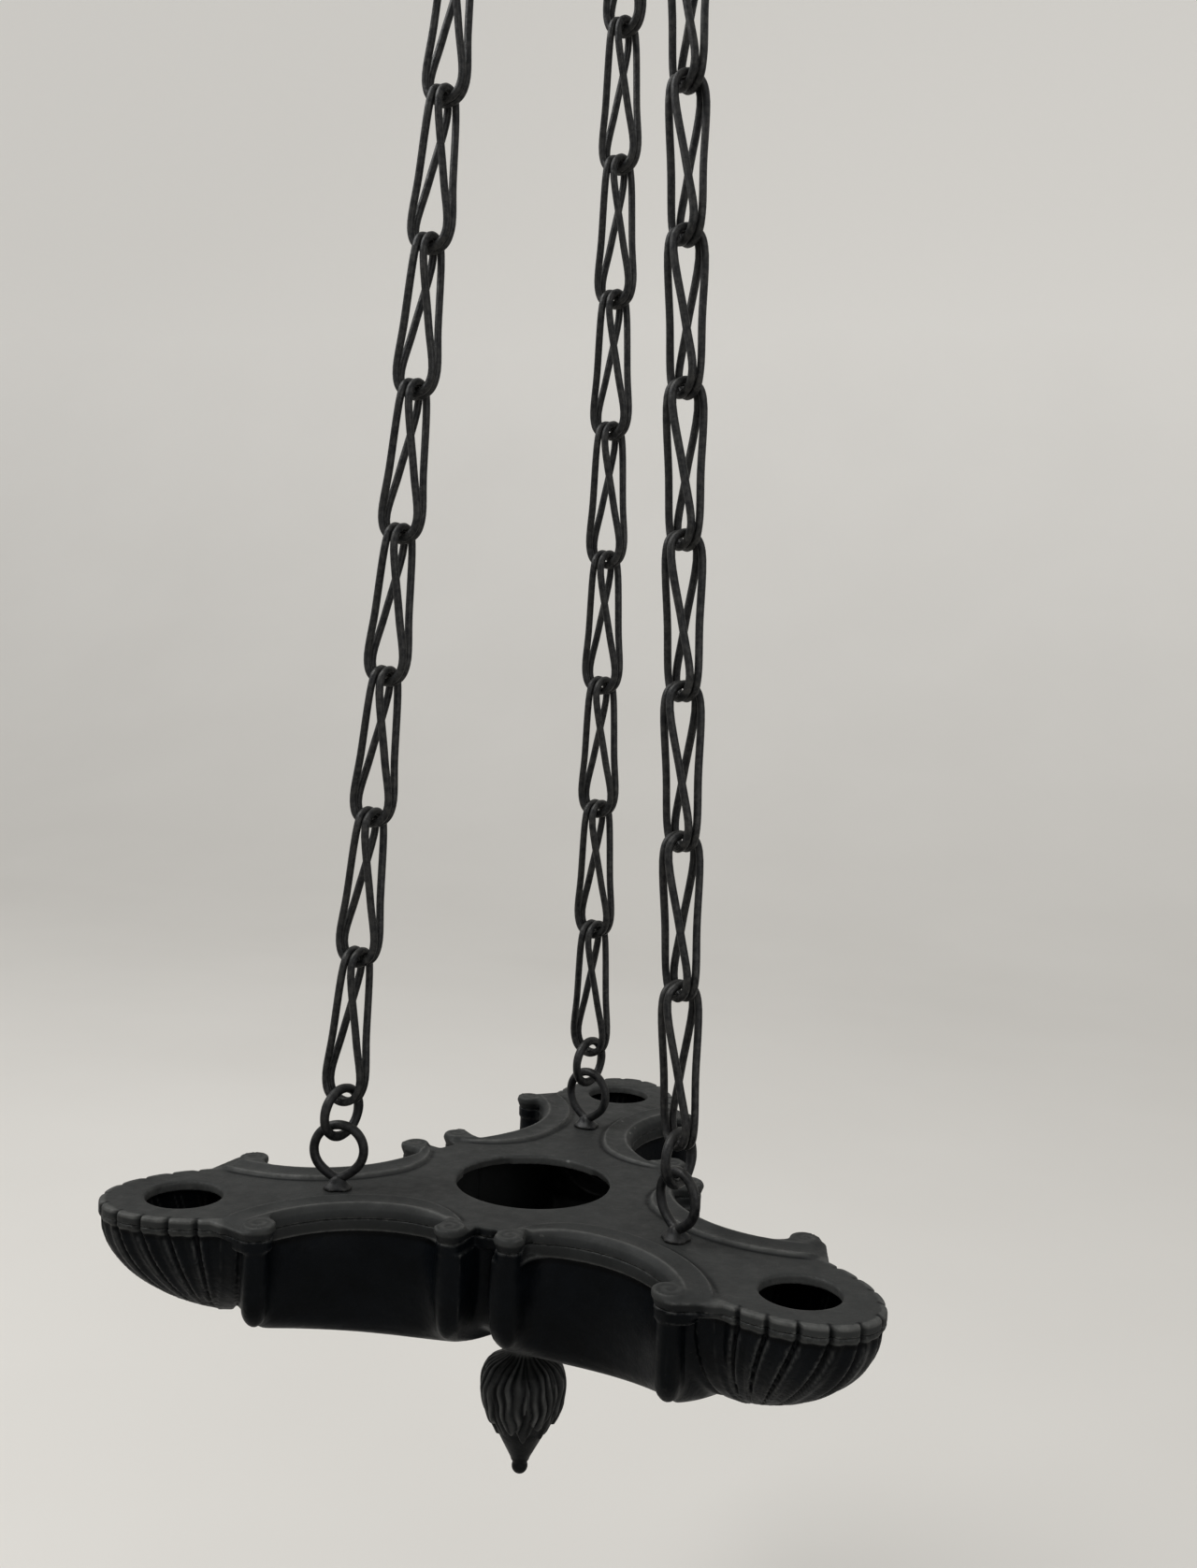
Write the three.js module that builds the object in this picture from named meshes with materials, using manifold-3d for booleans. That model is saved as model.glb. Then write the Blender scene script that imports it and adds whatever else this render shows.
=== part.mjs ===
// A three-armed hanging oil lamp of cast, dark-patinated bronze on three loop-in-loop wire chains.
// Millimetres, +Z up. The origin is on the ceiling, in the middle of the ceiling plate's top face.

import * as THREE from 'three';
import { mergeVertices } from 'three/addons/utils/BufferGeometryUtils.js';
import Module from 'manifold-3d';

const wasm = await Module();
wasm.setup();

// Driving sizes.
// In plan, u runs along an arm from the lamp's middle and v runs across it.
// The three chains and arms have one direction each, turned about the lamp's upright axis.
const ARMS = [
  { name: 'right', turn: -30, linkTurn: -18, ringTurn: 30, eyeTurn: -8 },
  { name: 'back', turn: 90, linkTurn: 70, ringTurn: 0, eyeTurn: 68 },
  { name: 'left', turn: 210, linkTurn: 141, ringTurn: -9, eyeTurn: 160 },
];

const CLEARANCE = 0.3;
const RUNNING_GAP = 0.35;
const LAP = 1;

const DECK_THICKNESS = 3.6;
const FILLER_RADIUS = 30;
const WICK_HOLE_RADIUS = 14;
const WICK_HOLE_U = 132;

const NOZZLE_ROOT_U = 117.5;
const NOZZLE_LENGTH = 44.5;
const NOZZLE_HALF_WIDTH = 28.3;
const NOZZLE_DEPTH = 34.5;
const THROAT_INSET = 2.2;
const GADROONS = 11;
const GADROON_DEPTH = 1.3;

const SCOOP_U = 76;
const ARM_WAIST = 45;
const SCOOP_RADIUS = 47.5;
const VOLUTE_RADIUS = 5.8;
const INNER_VOLUTE_ANGLE = -147.5;
const INNER_VOLUTE_INSET = 5;
const OUTER_VOLUTE_ANGLE = -48.5;
const OUTER_VOLUTE_INSET = 2.2;
const COLUMN_INSET = 0.8;
const HUB_RADIUS = 51;
const CRESCENT_WIDTH = 13;
const CRESCENT_HEIGHT = 1.7;
const CRESCENT_TIP_WIDTH = 2;
const CRESCENT_TAPER = 0.35;

const LIP_DEPTH = 2.4;
const SIDE_LIP_DEPTH = 4.6;
const PANEL_INSET = 1.6;
const KEEL_DEPTH = 54;
const KEEL_STEP = 0.8;
const KEEL_LENGTH = 185;
const KEEL_HALF_WIDTH = 76;
const PAN_WALL = 3;
const BOSS_RADIUS = 10;
const BOSS_DEPTH = 2;

const STUD_RADIUS = 3;
const NUT_HEIGHT = 5;
const NUT_RADIUS = 6.5;
const NUT_SEAT_MARGIN = 2;
const FINIAL_RADIUS = 17;
const FINIAL_NECK = 5.5;
const FINIAL_STEM_LENGTH = 13;
const FINIAL_BUD_LENGTH = 46;
const FINIAL_BALL_RADIUS = 3.2;
const FINIAL_LEAVES = 8;
const FINIAL_LEAF_RELIEF = 0.05;

// The bud's outline: its radius and its depth below the stem, as shares of the bud's own sizes.
const FINIAL_BUD = [
  [0.32, 0], [0.8, 0.08], [0.97, 0.18], [1, 0.26], [0.96, 0.42], [0.84, 0.54],
  [0.62, 0.7], [0.38, 0.84], [0.2, 0.95],
];

const RING_WIRE = 3.6;
const RING_RADIUS = 9.2;
const DECK_EYE_RADIUS = 9.6;
const DECK_EYE_POINT = 1.4;
const EYE_FOOT_HEIGHT = 4;
const EYE_FOOT_RADIUS = 5.5;
const EYE_SHANK_RADIUS = 1.8;
const RIVET_RADIUS = 3;
const RIVET_HEIGHT = 2;

const RING_CROSS_TURN = 90;
const LINK_COUNT = 9;
const LINK_WIRE = 2.9;
const LINK_PITCH = 53;
const LINK_LOBE_HALF_WIDTH = 7.6;
const LINK_LOBE_SPACING = 3.2;
const LINK_FOLD_HALF_WIDTH = 6.2;
const LINK_FOLD_SPACING = 3.5;

const SPREADER_THICKNESS = 4;
const SPREADER_HOLE_RADIUS_FROM_MIDDLE = 46;
const SPREADER_LOBE = 8;
const SPREADER_HUB = 15;
const SPREADER_WAIST = 14;
const TOP_EYE_RADIUS = 8;
const TOP_EYE_NECK = 3;

const HANGER_WIRE = 4.4;
const HANGER_RADIUS = 14;
const CROWN_EYE_WIRE = 4.4;
const CROWN_EYE_RADIUS = 9;
const CROWN_SHANK_RADIUS = 3;
const CROWN_COLLAR_RADIUS = 7;
const CROWN_COLLAR_HEIGHT = 3;

const HOOK_WIRE = 6;
const HOOK_RADIUS = 12;
const HOOK_SHANK = 12;
const HOOK_OPEN_ANGLE = 60;
const PLATE_RADIUS = 32;
const PLATE_THICKNESS = 6;
const SOCKET_DEPTH = 4;
const SCREW_CIRCLE = 22;
const SCREW_ANGLES = [90, 210, 330];
const SCREW_RADIUS = 2;
const SCREW_HEAD_RADIUS = 4;
const SCREW_HEAD_HEIGHT = 2.4;
const SCREW_LENGTH = 25;
const SCREW_POINT_LENGTH = 4;
const SCREW_TIP_RADIUS = 0.3;

// How finely round shapes are divided.
const SHANK_SIDES = 12;
const BORE_SIDES = 16;
const ROUND_SIDES = 24;
const WICK_HOLE_SIDES = 28;
const HUB_SIDES = 30;
const SCOOP_SIDES = 30;
const WIDE_SIDES = 48;
const VOLUTE_SIDES = 12;
const RIM_STEPS_PER_LOBE = 3;
const CRESCENT_STEPS = 10;
const LOOP_STEPS = 16;
const HOOK_STEPS = 20;

// Sizes that follow from those above.
const RAD = Math.PI / 180;
const SCOOP_V = ARM_WAIST / 2 + SCOOP_RADIUS;
const RIM_Z = -DECK_THICKNESS - LIP_DEPTH;
const ROOM_INSET = PAN_WALL + GADROON_DEPTH;
const SIDE_RIM_Z = -DECK_THICKNESS - SIDE_LIP_DEPTH;
const BOSS_Z = -KEEL_DEPTH - BOSS_DEPTH;
const FINIAL_TOP = BOSS_Z - CLEARANCE;
const NUT_SEAT_Z = -KEEL_DEPTH + PAN_WALL;
const RING_WIRE_RADIUS = RING_WIRE / 2;
const LINK_WIRE_RADIUS = LINK_WIRE / 2;
const LOBE_Y = LINK_LOBE_SPACING / 2;
const FOLD_X = LINK_FOLD_SPACING / 2;

// Wire bends are made of straight steps of 45 degrees, which rise this much for each unit outward.
const BEND_STEP = Math.PI / 4;
const BEND_SLOPE = Math.tan(BEND_STEP / 2);

// Shading of the metal.
const bronze = new THREE.MeshStandardMaterial({ color: 0x2b2d2c, roughness: 0.62, metalness: 0.55 });
const deckBronze = new THREE.MeshStandardMaterial({ color: 0x3a3c3a, roughness: 0.7, metalness: 0.4 });
const wire = new THREE.MeshStandardMaterial({ color: 0x1f2122, roughness: 0.5, metalness: 0.7 });
const iron = new THREE.MeshStandardMaterial({ color: 0x262626, roughness: 0.6, metalness: 0.6 });

// Solids and meshes.
function solidOf(geometry) {
  const bare = geometry.index ? geometry.clone() : geometry;
  bare.deleteAttribute('normal');
  bare.deleteAttribute('uv');
  const merged = mergeVertices(bare, 1e-4);
  return new wasm.Manifold(new wasm.Mesh({
    numProp: 3,
    vertProperties: Float32Array.from(merged.attributes.position.array),
    triVerts: Uint32Array.from(merged.index.array),
  }));
}

function geometryOf(solid) {
  const mesh = solid.getMesh();
  const geometry = new THREE.BufferGeometry();
  geometry.setAttribute('position', new THREE.BufferAttribute(Float32Array.from(mesh.vertProperties), 3));
  geometry.setIndex(new THREE.BufferAttribute(Uint32Array.from(mesh.triVerts), 1));
  geometry.computeVertexNormals();
  return geometry;
}

function joined(solids) {
  return solids.reduce((sum, solid) => sum.add(solid));
}

function prism(shape, low, high, curveSegments = SHANK_SIDES) {
  const depth = high - low;
  const geometry = new THREE.ExtrudeGeometry(shape, { depth, bevelEnabled: false, curveSegments });
  geometry.translate(0, 0, low);
  return solidOf(geometry);
}

function post(radius, low, high, sides = ROUND_SIDES, topRadius = radius) {
  const geometry = new THREE.CylinderGeometry(topRadius, radius, high - low, sides);
  geometry.rotateX(Math.PI / 2);
  geometry.translate(0, 0, (low + high) / 2);
  return solidOf(geometry);
}

function turned(profile, sides = ROUND_SIDES) {
  const points = profile.map(([radius, z]) => new THREE.Vector2(radius, z));
  const geometry = new THREE.LatheGeometry(points, sides);
  geometry.rotateX(Math.PI / 2);
  return geometry;
}

function named(name, geometry, material) {
  const mesh = new THREE.Mesh(geometry, material);
  mesh.name = name;
  return mesh;
}

// A closed wire whose sections stand at the points given, so that bends can have more of them.
class ClosedWire extends THREE.Curve {
  constructor(points) {
    super();
    this.spline = new THREE.CatmullRomCurve3(points, true, 'centripetal');
  }

  getPoint(t, target) {
    return this.spline.getPoint(t, target);
  }

  getPointAt(t, target) {
    return this.spline.getPoint(t, target);
  }

  getTangentAt(t, target) {
    return this.spline.getTangent(t, target);
  }
}

function closedWire(points, radius, sides = 6) {
  return new THREE.TubeGeometry(new ClosedWire(points), points.length, radius, sides, true);
}

// Plan of the lamp body.
function fromScoop(angle, distance, side) {
  return [
    SCOOP_U + distance * Math.cos(angle * RAD),
    side * (SCOOP_V + distance * Math.sin(angle * RAD)),
  ];
}

function innerVolute(side) {
  return fromScoop(INNER_VOLUTE_ANGLE, SCOOP_RADIUS - INNER_VOLUTE_INSET, side);
}

function outerVolute(side) {
  return fromScoop(OUTER_VOLUTE_ANGLE, SCOOP_RADIUS - OUTER_VOLUTE_INSET, side);
}

// Points along a nozzle's rim, from one side to the other, in equal lobes with a groove between each two.
function nozzleRim(inset, stepsPerLobe, grooveDepth) {
  const ellipse = new THREE.EllipseCurve(
    0, 0, NOZZLE_LENGTH - inset, NOZZLE_HALF_WIDTH - inset, -Math.PI / 2, Math.PI / 2,
  );
  const steps = GADROONS * stepsPerLobe;
  return ellipse.getSpacedPoints(steps).map((point, index) => {
    const swell = Math.sqrt(Math.abs(Math.sin(Math.PI * index / stepsPerLobe)));
    const reach = point.length();
    return point.multiplyScalar((reach - grooveDepth * (1 - swell)) / reach);
  });
}

// An arm's flat outline between its volutes. A room inside the arm stands back from them by the two insets.
function armSlab({ inset, withNozzle, sideInset, endInset }) {
  const inner = (side) => [innerVolute(side)[0], innerVolute(side)[1] - side * sideInset];
  const outer = (side) => [outerVolute(side)[0] - endInset, outerVolute(side)[1] - side * sideInset];
  const shape = new THREE.Shape();
  shape.moveTo(0, 0);
  shape.lineTo(...inner(-1));
  shape.lineTo(...outer(-1));
  if (withNozzle) {
    for (const point of nozzleRim(inset, RIM_STEPS_PER_LOBE, GADROON_DEPTH)) {
      shape.lineTo(NOZZLE_ROOT_U + point.x, point.y);
    }
  }
  shape.lineTo(...outer(1));
  shape.lineTo(...inner(1));
  shape.closePath();
  return shape;
}

function onArms(solid) {
  return joined(ARMS.map((arm) => solid.rotate([0, 0, arm.turn])));
}

// The two volutes of one side of an arm, and the wall that carries the inner one out from the hub.
function voluteColumns(side, radius, low, high) {
  const columns = [innerVolute(side), outerVolute(side)].map(
    ([u, v]) => post(radius, low, high, VOLUTE_SIDES).translate([u, v, 0]),
  );
  const [u, v] = innerVolute(side);
  const reach = Math.hypot(u, v);
  const neck = new THREE.BoxGeometry(reach, 2 * radius, high - low);
  neck.translate(reach / 2, 0, (low + high) / 2);
  neck.rotateZ(Math.atan2(v, u));
  return joined([solidOf(neck), ...columns]);
}

function scooped(arm, radius, low, high) {
  return [-1, 1].reduce((rest, side) => {
    const scoop = post(radius, low - 1, high + 1, SCOOP_SIDES).translate([SCOOP_U, side * SCOOP_V, 0]);
    return rest.subtract(scoop);
  }, arm);
}

// The plan of an arm with its volutes, raised from one height to another.
function armPlan({ inset, columnInset, low, high, withNozzle }) {
  const outline = armSlab({ inset, withNozzle, sideInset: 0, endInset: 0 });
  const arm = scooped(prism(outline, low, high), SCOOP_RADIUS + inset, low, high);
  const columns = [-1, 1].map((side) => voluteColumns(side, VOLUTE_RADIUS - columnInset, low, high));
  return joined([arm, ...columns]);
}

// The plan of the room inside an arm.
function armRoom(inset, low, high) {
  const sideInset = VOLUTE_RADIUS + PAN_WALL;
  const outline = armSlab({ inset, withNozzle: false, sideInset, endInset: PAN_WALL });
  return scooped(prism(outline, low, high), SCOOP_RADIUS + inset, low, high);
}

function hubPlan(inset, low, high) {
  return post(HUB_RADIUS - inset, low, high, HUB_SIDES);
}

function slab(low, high, withNozzle = true) {
  const arm = armPlan({ inset: 0, columnInset: 0, low, high, withNozzle });
  return onArms(arm).add(hubPlan(0, low, high));
}

// The boat-shaped underside is one long half-ellipsoid below each arm and a round bowl below the hub.
function ellipsoid(length, halfWidth, depth) {
  const geometry = new THREE.SphereGeometry(1, 24, 12);
  geometry.rotateX(Math.PI / 2);
  geometry.scale(length, halfWidth, depth);
  return solidOf(geometry);
}

function belowKeel(arm, hub, inset) {
  const keel = ellipsoid(KEEL_LENGTH - inset, KEEL_HALF_WIDTH - inset, KEEL_DEPTH - KEEL_STEP - inset);
  const bowl = ellipsoid(KEEL_HALF_WIDTH - inset, KEEL_HALF_WIDTH - inset, KEEL_DEPTH - inset);
  return onArms(arm.intersect(keel)).add(hub.intersect(bowl));
}

function hull() {
  const low = -KEEL_DEPTH - 1;
  const high = SIDE_RIM_Z + LAP;
  const arm = armPlan({ inset: PANEL_INSET, columnInset: COLUMN_INSET, low, high, withNozzle: false });
  return belowKeel(arm, hubPlan(PANEL_INSET, low, high), 0);
}

function hullRoom() {
  const low = -KEEL_DEPTH - 1;
  const inset = PANEL_INSET + PAN_WALL;
  return belowKeel(armRoom(inset, low, 0), hubPlan(inset, low, 0), PAN_WALL);
}

// One nozzle below the rim: gadroons that run from the rim down to the root, as a closed half-dome.
function nozzleDome({ inset, stepsPerLobe, grooveDepth, rows }) {
  const low = RIM_Z;
  const rim = nozzleRim(inset, stepsPerLobe, grooveDepth);
  const depth = NOZZLE_DEPTH - inset;
  const vertices = [0, 0, low];
  for (let row = 0; row < rows; row += 1) {
    const angle = (Math.PI / 2) * (row / rows);
    for (const point of rim) {
      vertices.push(point.x * Math.cos(angle), point.y * Math.cos(angle), low - depth * Math.sin(angle));
    }
  }
  const pole = vertices.length / 3;
  vertices.push(0, 0, low - depth);
  const at = (row, step) => (row < rows ? 1 + row * rim.length + step : pole);
  const faces = [];
  for (let step = 0; step + 1 < rim.length; step += 1) {
    faces.push(0, at(0, step), at(0, step + 1));
    for (let row = 0; row < rows; row += 1) {
      faces.push(at(row, step), at(row + 1, step), at(row, step + 1));
      if (row + 1 < rows) {
        faces.push(at(row, step + 1), at(row + 1, step), at(row + 1, step + 1));
      }
    }
  }
  const last = rim.length - 1;
  for (let row = 0; row < rows; row += 1) {
    faces.push(0, at(row + 1, 0), at(row, 0));
    faces.push(0, at(row, last), at(row + 1, last));
  }
  const geometry = new THREE.BufferGeometry();
  geometry.setAttribute('position', new THREE.Float32BufferAttribute(vertices, 3));
  geometry.setIndex(faces);
  geometry.translate(NOZZLE_ROOT_U, 0, 0);
  return solidOf(geometry);
}

// The trough that joins a nozzle to its arm, and the passage inside it, which starts behind the end wall.
function throat(inset) {
  const halfWidth = NOZZLE_HALF_WIDTH - THROAT_INSET - inset;
  const drop = NOZZLE_DEPTH - THROAT_INSET - inset;
  const start = outerVolute(1)[0] - inset - LAP;
  const section = new THREE.Shape();
  section.moveTo(-halfWidth, RIM_Z + LAP);
  section.absellipse(0, RIM_Z, halfWidth, drop, Math.PI, 2 * Math.PI, false);
  section.lineTo(halfWidth, RIM_Z + LAP);
  section.closePath();
  const depth = NOZZLE_ROOT_U + LAP + inset - start;
  const geometry = new THREE.ExtrudeGeometry(section, { depth, bevelEnabled: false, curveSegments: 8 });
  geometry.applyMatrix4(new THREE.Matrix4().makeBasis(
    new THREE.Vector3(0, 1, 0), new THREE.Vector3(0, 0, 1), new THREE.Vector3(1, 0, 0),
  ));
  geometry.translate(start, 0, 0);
  return solidOf(geometry);
}

// A raised band along a scooped side, about the scoop's middle. It starts as a tip at the inner volute.
function crescentOutline() {
  const start = INNER_VOLUTE_ANGLE * RAD;
  const end = OUTER_VOLUTE_ANGLE * RAD;
  const outline = new THREE.Shape();
  outline.absarc(0, 0, SCOOP_RADIUS - LAP, end, start, true);
  for (let step = 0; step <= CRESCENT_STEPS; step += 1) {
    const part = step / CRESCENT_STEPS;
    const growth = Math.sin((Math.PI / 2) * Math.min(1, part / CRESCENT_TAPER));
    const reach = SCOOP_RADIUS + CRESCENT_TIP_WIDTH + (CRESCENT_WIDTH - CRESCENT_TIP_WIDTH) * growth;
    const angle = start + (end - start) * part;
    outline.lineTo(reach * Math.cos(angle), reach * Math.sin(angle));
  }
  outline.closePath();
  return outline;
}

function crescent() {
  const low = -DECK_THICKNESS;
  const scoop = post(SCOOP_RADIUS, low - 1, CRESCENT_HEIGHT + 1, SCOOP_SIDES);
  const band = prism(crescentOutline(), low, CRESCENT_HEIGHT, CRESCENT_STEPS).subtract(scoop);
  const volutes = [innerVolute(1), outerVolute(1)].map(
    ([u, v]) => post(VOLUTE_RADIUS, low, CRESCENT_HEIGHT, VOLUTE_SIDES).translate([u, v, 0]),
  );
  return joined([band.translate([SCOOP_U, SCOOP_V, 0]), ...volutes]);
}

// The flat top of the lamp, with a raised crescent along each scooped side.
function lampDeck() {
  const high = CRESCENT_HEIGHT + 1;
  const low = -DECK_THICKNESS - 1;
  const crescents = crescent().add(crescent().mirror([0, 1, 0]));
  const wickHole = post(WICK_HOLE_RADIUS, low, high, WICK_HOLE_SIDES).translate([WICK_HOLE_U, 0, 0]);
  const eyeHole = post(EYE_SHANK_RADIUS + CLEARANCE, low, high, SHANK_SIDES).translate([SCOOP_U, 0, 0]);
  return slab(-DECK_THICKNESS, 0)
    .add(onArms(crescents))
    .subtract(onArms(wickHole.add(eyeHole)))
    .subtract(post(FILLER_RADIUS, low, high, WIDE_SIDES));
}

// The hollow lower body. Its open top is closed by the deck.
function oilPan() {
  const lip = slab(RIM_Z, -DECK_THICKNESS);
  const sideLip = slab(SIDE_RIM_Z, -DECK_THICKNESS - LAP, false);
  const domes = nozzleDome({
    inset: 0, stepsPerLobe: RIM_STEPS_PER_LOBE, grooveDepth: GADROON_DEPTH, rows: 5,
  });
  const boss = post(BOSS_RADIUS, BOSS_Z, BOSS_Z + 2 * BOSS_DEPTH);
  const outside = joined([lip, sideLip, hull(), onArms(domes.add(throat(0))), boss]);

  const nozzleRoom = nozzleDome({ inset: ROOM_INSET, stepsPerLobe: 1, grooveDepth: 0, rows: 3 });
  const nozzleMouth = prism(nozzleMouthShape(), RIM_Z - LAP, 0);
  const passages = onArms(joined([nozzleRoom, nozzleMouth, throat(PAN_WALL)]));
  const studHole = post(STUD_RADIUS + CLEARANCE, BOSS_Z - 1, 0, BORE_SIDES);
  const nutSeat = post(NUT_RADIUS + NUT_SEAT_MARGIN, NUT_SEAT_Z, NUT_SEAT_Z + NUT_HEIGHT);
  return outside.subtract(joined([hullRoom(), passages, nutSeat, studHole]));
}

function nozzleMouthShape() {
  const shape = new THREE.Shape();
  const rim = nozzleRim(ROOM_INSET + LAP, 1, 0);
  shape.moveTo(SCOOP_U, rim[0].y / 2);
  for (const point of rim) {
    shape.lineTo(NOZZLE_ROOT_U + point.x, point.y);
  }
  shape.lineTo(SCOOP_U, rim[rim.length - 1].y / 2);
  shape.closePath();
  return shape;
}

// Turned bud with a ball tip, its leaves a low relief around it, on a stem and a stud.
function finial() {
  const budTop = FINIAL_TOP - FINIAL_STEM_LENGTH;
  const bud = FINIAL_BUD.map(
    ([radius, depth]) => [radius * FINIAL_RADIUS, budTop - depth * FINIAL_BUD_LENGTH],
  );
  const ballTop = bud[bud.length - 1][1];
  const neckRadius = bud[bud.length - 1][0];
  const ballMiddle = ballTop - Math.sqrt(Math.max(0, FINIAL_BALL_RADIUS ** 2 - neckRadius ** 2 * 0.25));
  const ball = [30, 0, -35, -65].map((angle) => [
    FINIAL_BALL_RADIUS * Math.cos(angle * RAD),
    ballMiddle + FINIAL_BALL_RADIUS * Math.sin(angle * RAD),
  ]);
  const studTop = NUT_SEAT_Z + NUT_HEIGHT + 2 * CLEARANCE + STUD_RADIUS;
  const profile = [
    [0, studTop],
    [STUD_RADIUS, studTop],
    [STUD_RADIUS, FINIAL_TOP],
    [BOSS_RADIUS - 1, FINIAL_TOP],
    [BOSS_RADIUS - 2.5, FINIAL_TOP - 2.5],
    [FINIAL_NECK, FINIAL_TOP - FINIAL_STEM_LENGTH / 2],
    ...bud,
    ...ball,
    [0, ballMiddle - FINIAL_BALL_RADIUS],
  ].reverse();
  const geometry = turned(profile, 4 * FINIAL_LEAVES);
  const position = geometry.attributes.position;
  for (let index = 0; index < position.count; index += 1) {
    const x = position.getX(index);
    const y = position.getY(index);
    const z = position.getZ(index);
    const along = (budTop - z) / FINIAL_BUD_LENGTH;
    if (along > 0.05 && along < 0.9) {
      const swell = 1 + FINIAL_LEAF_RELIEF * Math.cos(FINIAL_LEAVES * Math.atan2(y, x));
      position.setXY(index, x * swell, y * swell);
    }
  }
  return geometry;
}

function hexNut(bore, height) {
  const nut = post(NUT_RADIUS, 0, height, 6);
  return nut.subtract(post(bore + CLEARANCE, -1, height + 1, BORE_SIDES));
}

// A wire eye on a riveted shank. Its foot is at z = 0 and its loop stands above.
function deckEye() {
  const radius = DECK_EYE_RADIUS;
  const middle = EYE_FOOT_HEIGHT + DECK_EYE_POINT + radius;
  const points = [];
  for (let step = 0; step < LOOP_STEPS; step += 1) {
    const angle = (2 * Math.PI * step) / LOOP_STEPS - Math.PI / 2;
    const drop = step === 0 ? DECK_EYE_POINT : 0;
    points.push(new THREE.Vector3(radius * Math.cos(angle), 0, middle - drop + radius * Math.sin(angle)));
  }
  const loop = solidOf(closedWire(points, RING_WIRE_RADIUS, 6));
  const foot = solidOf(turned([
    [0, CLEARANCE], [EYE_FOOT_RADIUS, CLEARANCE], [EYE_FOOT_RADIUS * 0.8, EYE_FOOT_HEIGHT * 0.5],
    [EYE_FOOT_RADIUS * 0.5, EYE_FOOT_HEIGHT + 1], [0, EYE_FOOT_HEIGHT + 1.5],
  ], 16));
  return joined([loop, foot, rivet(DECK_THICKNESS)]);
}

// A shank that reaches through a plate below z = 0 and is spread into a head behind it.
function rivet(plateThickness) {
  const headTop = -plateThickness - CLEARANCE;
  const shank = post(EYE_SHANK_RADIUS, headTop - RIVET_HEIGHT, 1, SHANK_SIDES);
  return shank.add(post(RIVET_RADIUS * 0.8, headTop - RIVET_HEIGHT, headTop, SHANK_SIDES, RIVET_RADIUS));
}

function topEye() {
  const middle = CLEARANCE + TOP_EYE_NECK + RING_WIRE_RADIUS + TOP_EYE_RADIUS;
  const loop = new THREE.TorusGeometry(TOP_EYE_RADIUS, RING_WIRE_RADIUS, 6, 16);
  loop.rotateX(Math.PI / 2);
  loop.translate(0, 0, middle);
  const neck = post(EYE_FOOT_RADIUS * 0.6, CLEARANCE, middle - TOP_EYE_RADIUS, SHANK_SIDES, RING_WIRE_RADIUS);
  return joined([solidOf(loop), neck, rivet(SPREADER_THICKNESS)]);
}

// One chain link: a closed wire loop pinched in the middle and folded over, hanging down from its fold.
// Two lobes hang side by side. The fold's two wires arch over the lobes of the link above.
// The height of a fold's crest above the middle of the bent wire that it hangs on.
function foldRise(wireRadius, wireOffset) {
  const apothem = LINK_FOLD_HALF_WIDTH * Math.cos(BEND_STEP / 2);
  const room = apothem - LINK_WIRE_RADIUS - wireRadius - RUNNING_GAP;
  const drop = Math.sqrt(room * room - wireOffset * wireOffset);
  return LINK_FOLD_HALF_WIDTH - drop + BEND_SLOPE * FOLD_X;
}

const LINK_NEST = foldRise(LINK_WIRE_RADIUS, LOBE_Y);
const LINK_LENGTH = LINK_PITCH + LINK_NEST;

function linkQuarter() {
  const a = LINK_LOBE_HALF_WIDTH;
  const b = LINK_FOLD_HALF_WIDTH;
  const lobeTop = -LINK_LENGTH + a;
  const foldBottom = -b;
  const slope = (z) => (z - lobeTop) / (foldBottom - lobeTop);
  const y = (z) => LOBE_Y + (b - LOBE_Y) * slope(z);
  const x = (z) => a + (FOLD_X - a) * slope(z);
  const middle = lobeTop + (foldBottom - lobeTop) * 0.4;
  const half = Math.SQRT1_2;
  return [
    [a * half, LOBE_Y, lobeTop - a * half],
    [a, LOBE_Y, lobeTop],
    [x(middle), y(middle), middle],
    [FOLD_X, b, foldBottom],
    [FOLD_X, b * half, foldBottom + b * half],
  ];
}

function chainLink() {
  const quarter = linkQuarter();
  const back = [...quarter].reverse();
  const place = (list, sx, sy) => list.map(([x, y, z]) => new THREE.Vector3(sx * x, sy * y, z));
  const points = [
    new THREE.Vector3(0, LOBE_Y, -LINK_LENGTH),
    ...place(quarter, 1, 1),
    new THREE.Vector3(FOLD_X, 0, 0),
    ...place(back, 1, -1),
    new THREE.Vector3(0, -LOBE_Y, -LINK_LENGTH),
    ...place(quarter, -1, -1),
    new THREE.Vector3(-FOLD_X, 0, 0),
    ...place(back, -1, 1),
  ];
  return closedWire(points, LINK_WIRE_RADIUS, 5);
}

function wireRing(radius, wireRadius, tubeSides = 6, ringSides = 18) {
  const geometry = new THREE.TorusGeometry(radius, wireRadius, tubeSides, ringSides);
  geometry.rotateX(Math.PI / 2);
  return geometry;
}

// The plate that spreads the three chains.
function spreaderPlate() {
  const low = -SPREADER_THICKNESS;
  const reach = SPREADER_HOLE_RADIUS_FROM_MIDDLE;
  const bar = new THREE.BoxGeometry(reach, SPREADER_WAIST, SPREADER_THICKNESS);
  bar.translate(reach / 2, 0, low / 2);
  const lobe = post(SPREADER_LOBE, low, 0).translate([reach, 0, 0]);
  const hole = post(EYE_SHANK_RADIUS + CLEARANCE, low - 1, 1, SHANK_SIDES).translate([reach, 0, 0]);
  const arms = onArms(solidOf(bar).add(lobe));
  const hub = post(SPREADER_HUB, low, 0, WIDE_SIDES);
  const boltHole = post(CROWN_SHANK_RADIUS + CLEARANCE, low - 1, 1, BORE_SIDES);
  return joined([arms, hub]).subtract(onArms(hole)).subtract(boltHole);
}

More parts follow.
